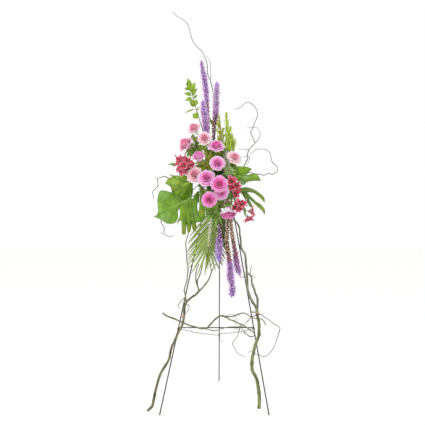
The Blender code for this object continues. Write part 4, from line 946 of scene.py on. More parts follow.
# spots and radii from the foam end, hole, where it begins to be open, colours of the threads and of the buds
liatris = {
    "liatris_up_left": ([(208.6, 134, 0.15), (208.4, 119, 0.15), (207.2, 103, 0.15), (206, 92, 0.15),
        (204.3, 78, 0.15), (201.4, 62.2, 0.15)], (0.006, 0.007, 0.009, 0.0125, 0.012, 0.008),
        ("top", -0.022, 0.0), 0.44, ((0.4, "#C894E4"), (0.7, "#E0ACFF"), (1.0, "#E4B4FF")), ((0.0, "#A88890"),
        (0.42, "#96688C"), (0.5, "#743C98"))),
    "liatris_up_low": ([(206, 137, 0.132), (205.6, 125, 0.125), (204.3, 113, 0.122), (203, 101.8, 0.122)],
        (0.01, 0.0145, 0.015, 0.009), ("top", -0.037, 0.012), 0.06, ((0.0, "#C084D8"), (0.4, "#F2BEFF"),
        (1.0, "#FAD2FF")), ((0.0, "#7A4266"), (0.3, "#7A46A2"), (1.0, "#AC7CD4"))),
    "liatris_up_right": ([(213.5, 140, 0.14), (214.3, 127, 0.14), (215.6, 115, 0.14), (216.2, 102, 0.14),
        (217.1, 83.9, 0.14)], (0.008, 0.01, 0.013, 0.0145, 0.012), ("top", -0.005, 0.004), 0.4,
        ((0.4, "#B47AD0"), (0.6, "#F4C8FF"), (1.0, "#FFE0FF")), ((0.0, "#7E4A64"), (0.35, "#6C2C58"),
        (1.0, "#B084D8"))),
    "liatris_down_left": ([(219.9, 224, 0.07), (219.6, 233, 0.066), (219.1, 245, 0.062), (219.2, 254, 0.06),
        (218.8, 259.8, 0.06)], (0.007, 0.01, 0.0145, 0.014, 0.0115), ("bottom", -0.006, -0.012), 0.36,
        ((0.36, "#C084D4"), (0.6, "#E8B8FF"), (1.0, "#CCBAFF")), ((0.0, "#84406A"), (0.36, "#844A96"),
        (1.0, "#9070D0"))),
    "liatris_down_middle": ([(228, 217, 0.07), (227.4, 232, 0.062), (227.4, 245, 0.055), (228.9, 257, 0.05),
        (230.2, 269, 0.048), (230.3, 276, 0.047), (231.9, 284.5, 0.046), (232.3, 289, 0.046),
        (232.2, 294, 0.046)], (0.008, 0.0085, 0.0105, 0.0115, 0.0135, 0.0158, 0.0108, 0.015, 0.0145),
        ("bottom", 0.016, -0.008), 0.56, ((0.5, "#B67EB4"), (0.66, "#CCA0F4"), (1.0, "#D6A8F6")),
        ((0.0, "#8A7448"), (0.4, "#86693C"), (0.52, "#96484E"), (0.7, "#7A3A74"), (1.0, "#764498"))),
    "liatris_down_right": ([(230.4, 217, 0.08), (232, 234, 0.074), (234.4, 248, 0.07), (236.6, 262, 0.068),
        (238.8, 272.6, 0.068)], (0.009, 0.0095, 0.0115, 0.0135, 0.013), ("bottom", 0.038, -0.006), 0.7,
        ((0.6, "#B8749A"), (0.85, "#D298DC"), (1.0, "#DCBAFF")), ((0.0, "#A08656"), (0.33, "#967446"),
        (0.5, "#94485C"), (0.85, "#84446E"), (1.0, "#74508C"))),
}


def makeLiatris():
    look = liatrisLook
    for name, (spots, radii, hole, opened, threadStops, budStops) in liatris.items():
        way = wayAlong(spots, radii)
        parts = [tubes(way[:, :3], spike["stem"], 8, look["stalkTint"], 1),
                 spikeStem(way, hole, look["stemTint"])]
        count = int(spike["spacing"] * len(way) / look["spacing"])
        foot, outward, along, radius, share = around(way, count)
        open_ = share > opened
        # the last florets close the end: they turn towards the tip
        ending = 0.55 * smooth(0.96, 1.0, share)[:, None]
        outward = unit(outward * (1 - ending) + along * ending)
        # shut heads: ovals of their own colour, with pale bracts that show between them
        tint = ramp(share, budStops) * rng.uniform(0.45, 1.55, (count, 1))
        size = radius * rng.uniform(0.95, 1.35, count) * np.where(open_, 0.85, 1.0)
        start = foot + outward * radius[:, None] * 0.25
        parts.append(buds(start, outward, along, size, look["bud"] * (0.6 + radius / 0.02), tint, 0.5))
        pale = rng.random(count) < np.where(open_, 0.0, 0.70)
        total = int(pale.sum())
        light = np.tile(linear(look["bractTint"]), (total, 1)) * rng.uniform(0.7, 1.0, (total, 1))
        girth = np.full(total, look["bract"])
        parts.append(buds(start[pale], outward[pale], along[pale], size[pale] * 1.25, girth, light, 0.25))
        # open heads: styles that fan out round each oval
        reach = radius * look["reach"] * 0.85 + 0.0015
        start = foot + outward * radius[:, None] * 0.35
        shown = (value[open_] for value in (start, outward, along, reach, ramp(share, threadStops)))
        parts.append(threads(*shown))
        if name in look["leaves"]:
            tip, base = seen(np.array(look["leaves"][name]))
            parts.append(leafBlades(base, tip, look["leafWidth"], (0.3, -1.0, 0.2), look["leafTints"], 12,
                                    belly=0.5, fold=0.3, finish=1))
        makePiece(name + "_head", parts, [threadSkin, stemSkin], name)


makeLiatris()


# Leaves on stalks

limeLook = {
    "spacing": 0.0012,
    "stalk": 0.0019,
    "sideStalk": 0.0010,
    "sideRadii": (0.004, 0.005, 0.0025),
    "bud": 0.0011,
    "stemTint": "#6F8A22",
    "ribTint": "#E4EE84",
}
# spots and radii from the foam end, hole, dark and lit colours, and side spikes by column and row of both ends
limeSpikes = {
    "lime_spike_tall": ([(230, 151, 0.112), (229.2, 138, 0.108), (227.2, 127, 0.104), (226.3, 112.4, 0.1)],
        (0.006, 0.0085, 0.0085, 0.0035), ("top", 0.026, 0.006), "#6A920E", "#D2F034",
        [(228.8, 137, 230.8, 126.4), (228.9, 142, 225.6, 132.4), (229.2, 144, 232, 135.4),
        (229.6, 148, 226.2, 138.4), (229.8, 149, 229, 139.6), (229.8, 150, 224.4, 143)]),
    "lime_spike_left": ([(222, 150, 0.122), (220.4, 132, 0.12), (218.9, 115.6, 0.12)], (0.006, 0.0065, 0.003),
        ("top", 0.01, 0.014), "#74801C", "#CED24A", [(219.9, 128, 217.4, 121.4), (220.4, 134, 216.9, 129),
        (220.6, 136, 223.4, 128.4), (221.2, 143, 218, 136), (221.2, 144, 223.9, 134.4),
        (221.8, 149, 217.6, 142.6), (222, 150, 225.4, 141)]),
    "lime_spike_right": ([(233.8, 151, 0.136), (232.8, 143, 0.132), (231.6, 134, 0.13)], (0.006, 0.007, 0.003),
        ("top", 0.042, 0.012), "#62880E", "#C6E82C", [(233.4, 148, 230.4, 140.4), (233.4, 148, 235.2, 139.6),
        (233.8, 151, 229.6, 146)]),
}


def makeLimeSpikes():
    look = limeLook
    for name, (spots, radii, hole, dark, lit, sides) in limeSpikes.items():
        ways = [wayAlong(spots, radii)]
        parts = [spikeStem(ways[0], hole, look["stemTint"])]
        for fromColumn, fromRow, toColumn, toRow in sides:
            depth = spots[0][2] + rng.uniform(-0.012, 0.004)
            bend = ((fromColumn + toColumn) / 2 + (toColumn - fromColumn) * 0.2, (fromRow + toRow) / 2, depth)
            ways.append(wayAlong([(fromColumn, fromRow, spots[0][2]), bend, (toColumn, toRow, depth)],
                                 look["sideRadii"]))
        for index, way in enumerate(ways):
            thick = look["sideStalk"] if index else look["stalk"]
            parts.append(tubes(way[:, :3], thick, 8, look["stemTint"], 1))
            count = int(spike["spacing"] * len(way) / look["spacing"])
            foot, outward, along, radius, _ = around(way, count)
            start = foot + outward * 0.0010
            reach = (radius * 1.35 + 0.004) * rng.uniform(0.60, 1.55, count)
            lean = rng.uniform(0.30, 0.95, (count, 1))
            tip = start + unit(outward * (1.15 - lean) + along * lean) * reach[:, None]
            parts.append(leafBlades(start, tip, reach * 0.36, outward * 0.4 + along * -0.6,
                                    (dark, lit, look["ribTint"]), 6, 3, 0.5, 0.12, 0.3, 0.0006))
            # painted light and shade: each bud gets its own share between the dark and the lit colour
            tint = mixTint(linear(dark), linear(lit), rng.random(count))
            girth = np.full(count, look["bud"])
            parts.append(buds(start, outward, along, reach * 0.4, girth, tint, 0.6, 4, 5))
        makePiece(name + "_bracts", parts, [bladeSkin, stemSkin], name)


makeLimeSpikes()
print("flower spikes made")


# Alstroemeria

alstroemeria = {
    "alstroemeria_left": {
        "fork": (186.6, 167, 0.062),
        "blooms": [(179, 160.4, 0.012, (-0.5, -0.75, 0.45), 0.026), (188, 160.8, 0.006, (0.1, -0.85, 0.5),
            0.026), (179.4, 169.8, 0.016, (-0.6, -0.75, -0.25), 0.024), (187.6, 168, 0.014, (0.15, -0.95, -0.2),
            0.022), (183.6, 165.4, -0.012, (-0.1, -0.98, 0.1), 0.023), (183.6, 158.4, 0.024, (0.0, -0.7, 0.7),
            0.02), (187.4, 165, 0.004, (0.6, -0.8, 0.1), 0.018), (180.6, 165.2, 0.004, (-0.5, -0.85, 0.2),
            0.017), (181.4, 172.4, 0.014, (-0.3, -0.75, -0.56), 0.018), (192, 164.2, 0.01, (0.5, -0.85, 0.1),
            0.018), (184.4, 171.8, 0.012, (-0.1, -0.8, -0.6), 0.017)],
        "buds": [(175, 165.8, 0.03), (185.4, 155.8, 0.02), (192.6, 160, 0.02), (176.4, 156.8, 0.026)],
        "leaves": [(178, 164.8, 167.6, 164.6, 0.03), (184.6, 169.4, 188.8, 177.4, 0.05)],
        "hole": ("left", -0.024, 0.022),
    },
    "alstroemeria_right": {
        "fork": (231.6, 187, 0.06),
        "blooms": [(231, 180.8, 0.004, (-0.1, -0.9, 0.35), 0.023), (237, 185, 0.016, (0.5, -0.8, 0.2), 0.023),
            (236, 193.4, 0.018, (0.35, -0.9, -0.2), 0.022), (231.6, 187.6, 0.004, (0.1, -0.95, -0.1), 0.019),
            (238.6, 189.6, 0.03, (0.7, -0.7, 0.1), 0.019), (234.4, 179.6, 0.026, (0.2, -0.6, 0.7), 0.018)],
        "buds": [(229.2, 185, 0.02), (239.8, 186, 0.03), (233, 197, 0.02), (225.8, 200.2, 0.006),
            (228, 199.2, 0.004), (227, 202.6, 0.01), (230.4, 200.8, 0.01), (224.4, 202.8, 0.012)],
        "leaves": [(231.6, 190, 229.2, 197.6, 0.03), (232, 192, 235.4, 203, 0.045),
            (231.6, 192, 231, 205, 0.05), (232.6, 191, 238.4, 198.4, 0.05)],
        "hole": ("right", -0.024, 0.012),
    },
    "alstroemeria_low": {
        "fork": (237.4, 204.4, 0.062),
        "blooms": [(235.2, 207.8, 0.026, (-0.2, -0.9, -0.3), 0.02), (241.4, 203.8, 0.01, (0.3, -0.9, 0.2),
            0.026), (252.8, 211.6, 0.03, (0.92, -0.38, -0.1), 0.028), (248.8, 219.6, 0.03, (0.3, -0.5, -0.81),
            0.027), (237.2, 202.6, 0.016, (-0.2, -0.85, 0.4), 0.018), (239.6, 208.8, 0.016, (0.1, -0.9, -0.4),
            0.019)],
        "buds": [(238, 199.6, 0.03), (244.8, 200.6, 0.034), (245.6, 205.4, 0.03)],
        "leaves": [(243.4, 205, 245.6, 217.4, 0.04)],
        "hole": ("right", -0.024, -0.04),
    },
}
tepalLook = {
    "crimson": "#C22A50",
    "light": "#FFCCD6",
    "deep": "#6A0C26",
    "coral": "#E65C80",
    "throat": "#E8A080",
    "tip": "#7FA04A",
}
lilyLook = {
    "green": "#6B8F3A",
    "leafTints": ("#3E6A12", "#6FA13F", "#86A85C"),
    "leafWidth": 0.013,
    "filament": "#D98A9A",
    "anther": "#5A3A2A",
    "bud": (0.015, 0.0040),  # length and girth
    "budTints": ("#A83A50", "#E09CBC"),
    "pod": np.array((0.0015, 0.0026, 0.0031, 0.0032, 0.0029, 0.0023, 0.0018)),
    "collar": np.array((0.0016, 0.0028, 0.0034, 0.0036, 0.0034, 0.0028, 0.0016)),
    "stalks": (0.0014, 0.0010),  # of blooms, and of buds and leaves
    "stem": 0.0020,
}


def tepals(place, radius):
    # Six tepals from a narrow tube: the distance out grows as v to the 1.5, the height as v to the 0.8 until
    # the tip bends by chance. Three are broad, notched and green at the back of the tip, and three are narrow
    # with dark streaks and an orange throat.
    v, u = sheetGrid(10, 7)
    index = np.arange(6)[:, None, None]
    inner = index % 2
    turn = index * np.pi / 3 + rng.uniform(-0.22, 0.22, (6, 1, 1))
    reach = rng.uniform(0.72, 1.18, (6, 1, 1))
    out = 0.07 + (0.98 - 0.08 * inner) * v**1.5 * reach
    height = -0.78 + 0.96 * v**0.8 + (0.30 - 0.75 * rng.random((6, 1, 1))) * v**3
    broad = 0.09 + 0.40 * np.sin(np.pi * np.clip(v, 0, 1) ** 1.25 * 0.93)
    narrow = 0.08 + 0.26 * np.sin(np.pi * np.clip(v, 0, 1) ** 1.05 * 0.95)
    half = np.where(inner == 1, narrow, broad) * (1 - 0.6 * smooth(0.88, 1.0, v))
    across = u * half * 0.9
    height = height + 0.30 * across**2 * (1 - 0.6 * v) - 0.05 * (1 - np.abs(u)) * v**6 * (1 - inner)
    points = placed(aroundAxis(out, across, height, turn) * radius, place)
    look = {name: linear(code) for name, code in tepalLook.items()}
    v, u, inner = np.broadcast_arrays(v, u, inner)
    luck = rng.random((6, 1, 1))
    front = mixTint(look["crimson"], look["coral"], 0.75 * luck * v)
    front = mixTint(front, look["deep"], 0.85 * (1 - smooth(0.25, 0.75, v)))
    edge = 1.1 * smooth(0.50, 1.0, np.abs(u)) * smooth(0.35, 0.9, v) * (0.30 + 0.9 * luck)
    front = mixTint(front, look["light"], edge)
    front = mixTint(front, look["throat"], 0.6 * inner * smooth(0.18, 0.32, v) * (1 - smooth(0.38, 0.55, v)))
    dashes = (np.abs(np.sin(3.2 * np.pi * u)) > 0.8) * (np.sin(26 * v) > 0) * inner * (v > 0.3) * (v < 0.8)
    front = mixTint(front, look["deep"], 0.8 * dashes)
    behind = mixTint(front, look["light"], 0.34)
    behind = mixTint(behind, look["tip"], 0.8 * smooth(0.86, 1.0, v) * (1 - inner))
    return blades(points, 0.0006, behind, front, np.stack((v, u, luck * 4 + 0 * v), axis=-1))


def stamens(place, radius):
    # Six threads that curve out of the throat, each with a dark anther at its end.
    turn = np.arange(6)[:, None] * np.pi / 3 + 0.3 + rng.uniform(-0.2, 0.2, (6, 1))
    v = np.linspace(0.0, 1.0, 9)[None]
    out = 0.05 + 0.30 * v**1.6 * rng.uniform(0.6, 1.2, (6, 1))
    height = -0.5 + 0.72 * v + 0 * turn
    paths = placed(aroundAxis(out, 0.0, height, turn) * radius, place)
    radii = np.full((6, 9), 0.00035)
    radii[:, -3:] = np.array((0.0008, 0.0010, 0.0004))
    tint = np.broadcast_to(linear(lilyLook["filament"]), (6, 9, 3)).copy()
    tint[:, -3:] = linear(lilyLook["anther"])
    return tubes(paths, radii, 5, tint)


def makeAlstroemeria():
    look = lilyLook
    green = look["green"]
    thick, thin = look["stalks"]
    for name, plant in alstroemeria.items():
        fork = seen(plant["fork"])
        parts = []
        for column, row, depth, direction, radius in plant["blooms"]:
            place = facing(seen((column, row, depth)), direction, rng.uniform(0, 2 * math.pi))
            axis = place[0] @ up
            parts += [tepals(place, radius * 1.12), stamens(place, radius)]
            base = place[1] - axis * radius * 0.80
            parts.append(tubes(placed(upAxis(-1.02, -0.74, 7) * radius, place), look["pod"], 9, green, 1))
            parts.append(tubes(bezier(base, axis * -0.014, fork, np.zeros(3), 16), thick, 8, green, 1))
        spots = seen(plant["buds"])
        way = unit(spots - fork)
        count = len(spots)
        long_, girth = (np.full(count, value) for value in look["bud"])
        dark, lit = (linear(code) for code in look["budTints"])
        parts.append(buds(spots, way, way, long_, girth, mixTint(dark, lit, rng.random(count)), 0.5, 9, 10))
        stalks = np.linspace(np.tile(fork, (count, 1)), spots + way * 0.001, 8, axis=1)
        parts.append(tubes(stalks, thin, 6, green, 1))
        leaves = np.array(plant["leaves"])
        base = seen(leaves[:, (0, 1, 4)])
        tip = seen(leaves[:, (2, 3, 4)] - (0.0, 0.0, 0.012))
        parts.append(leafBlades(base, tip, look["leafWidth"], (0.1, -1.0, 0.5), look["leafTints"], finish=1))
        parts.append(tubes(np.linspace(np.tile(fork, (len(base), 1)), base, 6, axis=1), thin, 6, green, 1))
        collar = fork + np.linspace(-0.004, 0.004, 7)[:, None] * np.array((0.0, -0.3, 1.0))
        parts.append(tubes(collar, look["collar"], 10, green, 1))
        parts.append(stemToFoam(fork, np.array((0.0, 0.02, 0.0)), plant["hole"], look["stem"], green))
        makePiece(name + "_spray", parts, [lilySkin, stemSkin], name)


makeAlstroemeria()
print("alstroemeria made")


# Split leaves

# in pixels: the grid's step, how wide the rib and the side veins show, and how far apart a vein's rows stand
splitLook = {
    "grid": 0.50,
    "vein": 0.55,
    "sideVein": 0.34,
    "beside": 0.36,
    "thickness": 0.0008,
    "wave": 0.0022,  # how far the blade swings to and fro
    "stem": 0.0020,
    "stemTint": "#5E8038",
}
# outline, middle rib and side veins in photo pixels; depth at the first point and how it changes across,
# down and away from the rib; colours: dark for painted shade, lit, sheen for a painted sheen, and rib;
# seams: folds between lobes, sunk and marked with painted shade; patches of painted light, painted
# reflection, painted shade and the leaf's own tone, as column, row, radius, colour and share; hole in the foam
splitLeaves = {
    "split_leaf_upper_left": {
        "outline": [(192.6, 181.6), (190.6, 177), (184, 175.2), (176, 175.6), (171.5, 174.9), (168, 173.2),
            (172.4, 176.9), (168, 178.6), (166.7, 181.2), (165, 183.6), (169.2, 185.6), (171.2, 188.6),
            (172, 192.4), (174.8, 194), (177.6, 196.6), (180.4, 199.2), (184.6, 201), (189.8, 199.2),
            (192.8, 193), (192.8, 187)],
        "rib": [(189.2, 182.6), (184, 184.6), (178.6, 187.2)],
        "veins": [((188.6, 182.4), (176, 176.6)), ((187, 183.2), (169, 180.6)), ((184.6, 184.2),
            (166.6, 183.6)), ((182, 185.4), (172.6, 190.6)), ((183, 185.2), (180.6, 196.4)), ((186.4, 183.8),
            (187.2, 197)), ((188.8, 183), (191.6, 190.6))],
        "seams": [((172.4, 176.9), (187, 182)), ((169.2, 185.6), (182, 185.6)), ((172, 192.4), (182.6, 187)),
            ((177.6, 196.6), (184.6, 188)), ((189.8, 199.2), (187.4, 187)), ((190.6, 177), (188, 181))],
        "depth": (0.112, 0.0009, 0.0002, 0.0012),
        "tints": ("#3C6410", "#82AC1A", "#9CC034", "#B4CC5C"),
        "patches": [(174, 179, 7, "#A2C048", 0.7), (184, 192, 7, "#608806", 0.9), (172, 190, 3, "#6A6A1C", 0.8),
            (190, 180, 5, "#5C8012", 0.5), (183, 180, 4, "#6A9414", 0.6), (190, 190, 4, "#4E7A08", 0.7),
            (180, 189, 2.5, "#84A81C", 0.7), (187, 187, 2, "#88AC20", 0.6)],
        "hole": ("left", 0.004, 0.044),
    },
    "split_leaf_large_left": {
        "outline": [(190, 197.6), (185.6, 200.4), (181.2, 199.4), (177.5, 195.6), (171, 192.3), (164, 190.6),
            (160, 191), (157.9, 196), (157.4, 203), (158.1, 210), (156.8, 214.8), (152.9, 216.6), (157.2, 218),
            (161.4, 219.9), (167.4, 223.6), (173.2, 223.6), (176.2, 221.6), (178.2, 217), (177.8, 212),
            (178.9, 208.4), (180, 212), (179.7, 216), (178.8, 218.2), (176.6, 223.8), (181.2, 219.8),
            (181.7, 226), (182, 234.4), (185.6, 234.6), (186.1, 227), (186.2, 222), (186.6, 227),
            (187.6, 232.4), (190.4, 231.6), (191.2, 226.4), (191.3, 222.4), (191.8, 226.6), (193.6, 231.8),
            (196, 231), (196.6, 226.4), (195.8, 222.8), (200, 221.8), (204.8, 219.4), (204.8, 211),
            (203.6, 204), (202.2, 198.6), (200.6, 195), (199.6, 199), (199.3, 203), (199.1, 207.5),
            (198.6, 211.2), (197.7, 210.6), (197.3, 207), (197.6, 203.4), (198.9, 202.2), (199.2, 198),
            (199.5, 194.4), (198.4, 190.6), (194.8, 194.4), (192.8, 198.8)],
        "rib": [(186.4, 200.2), (181, 203), (174.9, 206.2), (166, 210.8), (158.6, 214.6)],
        "veins": [((184, 201.4), (166, 192.4)), ((181, 203), (160.4, 194.6)), ((178.6, 204.2), (159, 201)),
            ((176, 205.6), (159.2, 207.4)), ((173, 207.2), (165, 219.4)), ((176, 205.8), (170.6, 221.8)),
            ((178, 204.8), (175.2, 218.6)), ((184.2, 201.6), (184, 232)), ((187.4, 200), (189.4, 229.6)),
            ((189.4, 199), (194.8, 229)), ((190.4, 198.4), (201.6, 219)), ((191.8, 198.2), (197, 193.4)),
            ((182.4, 202.6), (178, 222))],
        "seams": [((178.4, 212), (179.8, 205.4)), ((186.2, 224), (185.2, 205)), ((191.3, 224), (188.6, 203)),
            ((195.8, 224), (191.6, 203.6)), ((171, 192.3), (180.6, 201)), ((156.8, 214.8), (166, 211.4))],
        "leaving": (0.012, 0.014, 0.05),
        "depth": (0.086, 0.001, 0.0001, 0.0012),
        "tints": ("#3A620A", "#76A41C", "#88B44C", "#A8C468"),
        "patches": [(162, 194, 5, "#86AE60", 0.8), (164, 217, 7, "#80AE5A", 0.9), (166, 204, 5, "#68921C", 0.6),
            (176, 206, 6, "#68940E", 0.8), (186, 212, 6, "#7EA804", 0.9), (183, 230, 5, "#8C9218", 1.0),
            (189, 229, 3, "#A4A828", 0.9), (195, 228, 3, "#8E9614", 1.0), (192, 216, 2, "#3C5A04", 1.0),
            (192, 222, 2, "#4E5C02", 1.0), (193.5, 229, 1.3, "#4A5204", 0.9), (187, 224, 2, "#52680A", 0.8),
            (185, 219, 2, "#4E7608", 0.8), (196, 212, 4, "#82AA50", 0.8), (202, 212, 3, "#B0B420", 0.9),
            (196, 196, 5, "#44661A", 0.8), (174, 196, 5, "#4E7A14", 0.6), (184, 203, 4, "#517E0C", 0.7)],
        "hole": ("left", 0.004, -0.02),
    },
    "split_leaf_upper_right": {
        "outline": [(231.6, 177.2), (235.4, 170), (237.8, 166.4), (243, 166.7), (247.2, 166.9), (252.4, 169.3),
            (249.6, 171.2), (247.6, 174), (246.4, 175.6), (250, 174.2), (255, 174), (258.2, 175.8), (261, 181),
            (256, 180.7), (250, 181.3), (246.4, 182.6), (245, 184.4), (241.8, 184.8), (239, 181.6),
            (235, 179.6)],
        "rib": [(235.6, 176.6), (240.4, 176.4), (247, 177.4), (254, 178)],
        "veins": [((237, 176.4), (241.4, 168)), ((239.6, 176.4), (250, 169.6)), ((243.6, 176.8), (252.6, 175)),
            ((244.6, 177), (251, 180.4)), ((240, 176.6), (243.6, 183.4)), ((236.6, 176.8), (239.6, 180.8))],
        "seams": [((249.6, 171.2), (240.6, 174.6)), ((246.4, 175.6), (241, 176)), ((246.4, 182.6), (241, 178)),
            ((238, 168), (237.6, 175))],
        "depth": (0.095, -0.001, 0.0004, 0.0016),
        "tints": ("#2F5E0C", "#7EAC12", "#90B834", "#9CC050"),
        "patches": [(242, 170, 6, "#92BC18", 0.9), (237, 174, 3, "#58880A", 0.8),
            (246, 176, 2.5, "#B4D0A0", 0.8), (252, 178, 3, "#7CA84A", 0.6), (259, 180, 3, "#3E5C1C", 0.7),
            (243, 182, 3, "#8CA888", 0.9), (249, 173, 2, "#4C780E", 0.7)],
        "hole": ("right", 0.004, 0.034),
    },
    "split_leaf_lower_right": {
        "outline": [(236, 187.2), (240.4, 187.8), (246, 187.2), (251.9, 188.6), (257, 191.2), (261.2, 194.2),
            (264.4, 198), (264.6, 202.8), (261.8, 199.6), (257.8, 195.8), (253, 192.8), (247, 192.2),
            (251, 196.6), (256, 201.4), (260.6, 204.2), (264.8, 209.4), (264.7, 215), (262, 210.8),
            (257.6, 206.6), (253, 202.4), (248.6, 198.2), (251.4, 203.6), (253.6, 208), (249.8, 206.6),
            (247.4, 202.4), (244.6, 198.4), (241.6, 193.6), (238.4, 190.4)],
        "rib": [(240.2, 189.6), (244.6, 190.6)],
        "veins": [((242, 189.6), (252.6, 190.4)), ((252.6, 190.4), (264.2, 200.6)), ((244, 190.8),
            (254.6, 202)), ((254.6, 202), (264.4, 212.6)), ((242.6, 191.2), (252.4, 207)), ((236.6, 187.6),
            (242.4, 190.4))],
        "seams": [((247, 192.2), (242.6, 190.8)), ((248.6, 198.2), (242.4, 191.2))],
        "depth": (0.11, -0.0012, 0.0002, 0.0016),
        "tints": ("#3A601C", "#6E942E", "#8CA044", "#A8B860"),
        "patches": [(263, 199, 4, "#8C9A28", 0.8), (250, 190, 4, "#7C7E40", 0.6), (262, 210, 4, "#8CAA2C", 0.8),
            (240, 190, 4, "#6C9C38", 0.7), (249, 201, 5, "#4E8030", 0.8)],
        "hole": ("right", 0.004, -0.012),
    },
}


def toLines(points, starts, ends):
    # Distance from each point to the nearest of many line pieces.
    run = ends - starts
    share = ((points[:, None] - starts) * run).sum(axis=-1) / np.maximum((run**2).sum(axis=-1), 1e-9)
    near = starts + run * np.clip(share, 0.0, 1.0)[..., None]
    return np.linalg.norm(points[:, None] - near, axis=-1).min(axis=1)


def inside(points, outline):
    # Even-odd rule: counts the outline's edges that a line to the right crosses.
    x, y = points[:, 0, None], points[:, 1, None]
    a, b = outline, np.roll(outline, -1, axis=0)
    crosses = (a[:, 1] > y) != (b[:, 1] > y)
    slope = (b[:, 0] - a[:, 0]) / np.where(b[:, 1] == a[:, 1], 1e-9, b[:, 1] - a[:, 1])
    return (crosses & (x < a[:, 0] + slope * (y - a[:, 1]))).sum(axis=1) % 2 == 1


def softOutline(points):
    # Hermite curve through the outline, with its tangents let go where the outline turns sharply.
    steps = 5
    points = np.array(points)
    before, after = np.roll(points, 1, axis=0), np.roll(points, -1, axis=0)
    turn = (unit(points - before) * unit(after - points)).sum(axis=1)
    tangent = unit(after - before) * np.where(turn > 0.15, 1.0, 0.0)[:, None]
    reach = np.minimum(np.linalg.norm(after - points, axis=1), np.linalg.norm(points - before, axis=1))
    tangent = tangent * reach[:, None]
    t = np.linspace(0.0, 1.0, steps + 1)[:-1][None, :, None]
    a, b, m, n = points[:, None], after[:, None], tangent[:, None], np.roll(tangent, -1, axis=0)[:, None]
    leaving = (2 * t**3 - 3 * t**2 + 1) * a + (t**3 - 2 * t**2 + t) * m
    return (leaving + (3 * t**2 - 2 * t**3) * b + (t**3 - t**2) * n).reshape(-1, 2)


def leafSpots(outline, veins, ribs):
    # Points to mesh a leaf with: a shaken grid, and rows along and beside each vein, to keep its ridge sharp.
    step = splitLook["grid"]
    after = np.roll(outline, -1, axis=0)
    low, high = outline.min(axis=0), outline.max(axis=0)
    x, y = np.meshgrid(np.arange(low[0], high[0], step), np.arange(low[1], high[1], step))
    spots = np.stack((x.ravel(), y.ravel()), axis=1) + rng.uniform(-0.2, 0.2, (x.size, 2)) * step
    spots = spots[inside(spots, outline)]
    spots = spots[toLines(spots, outline, after) > 0.3 * step]
    run = np.linspace(0.02, 0.98, 70)[:, None, None]
    drift = unit(veins[1] - veins[0])[:, ::-1] * (1, -1)
    aside = splitLook["beside"]
    rows = [veins[0] + (veins[1] - veins[0]) * run + drift * beside for beside in (-aside, 0.0, aside)]
    rows = np.concatenate(rows).reshape(-1, 2)
    rows = rows[inside(rows, outline)]
    rows = rows[(toLines(rows, outline, after) > 0.3 * step) & (toLines(rows, *ribs) > 0.4)]
    return np.concatenate((spots[toLines(spots, *veins) > 0.55], rows))


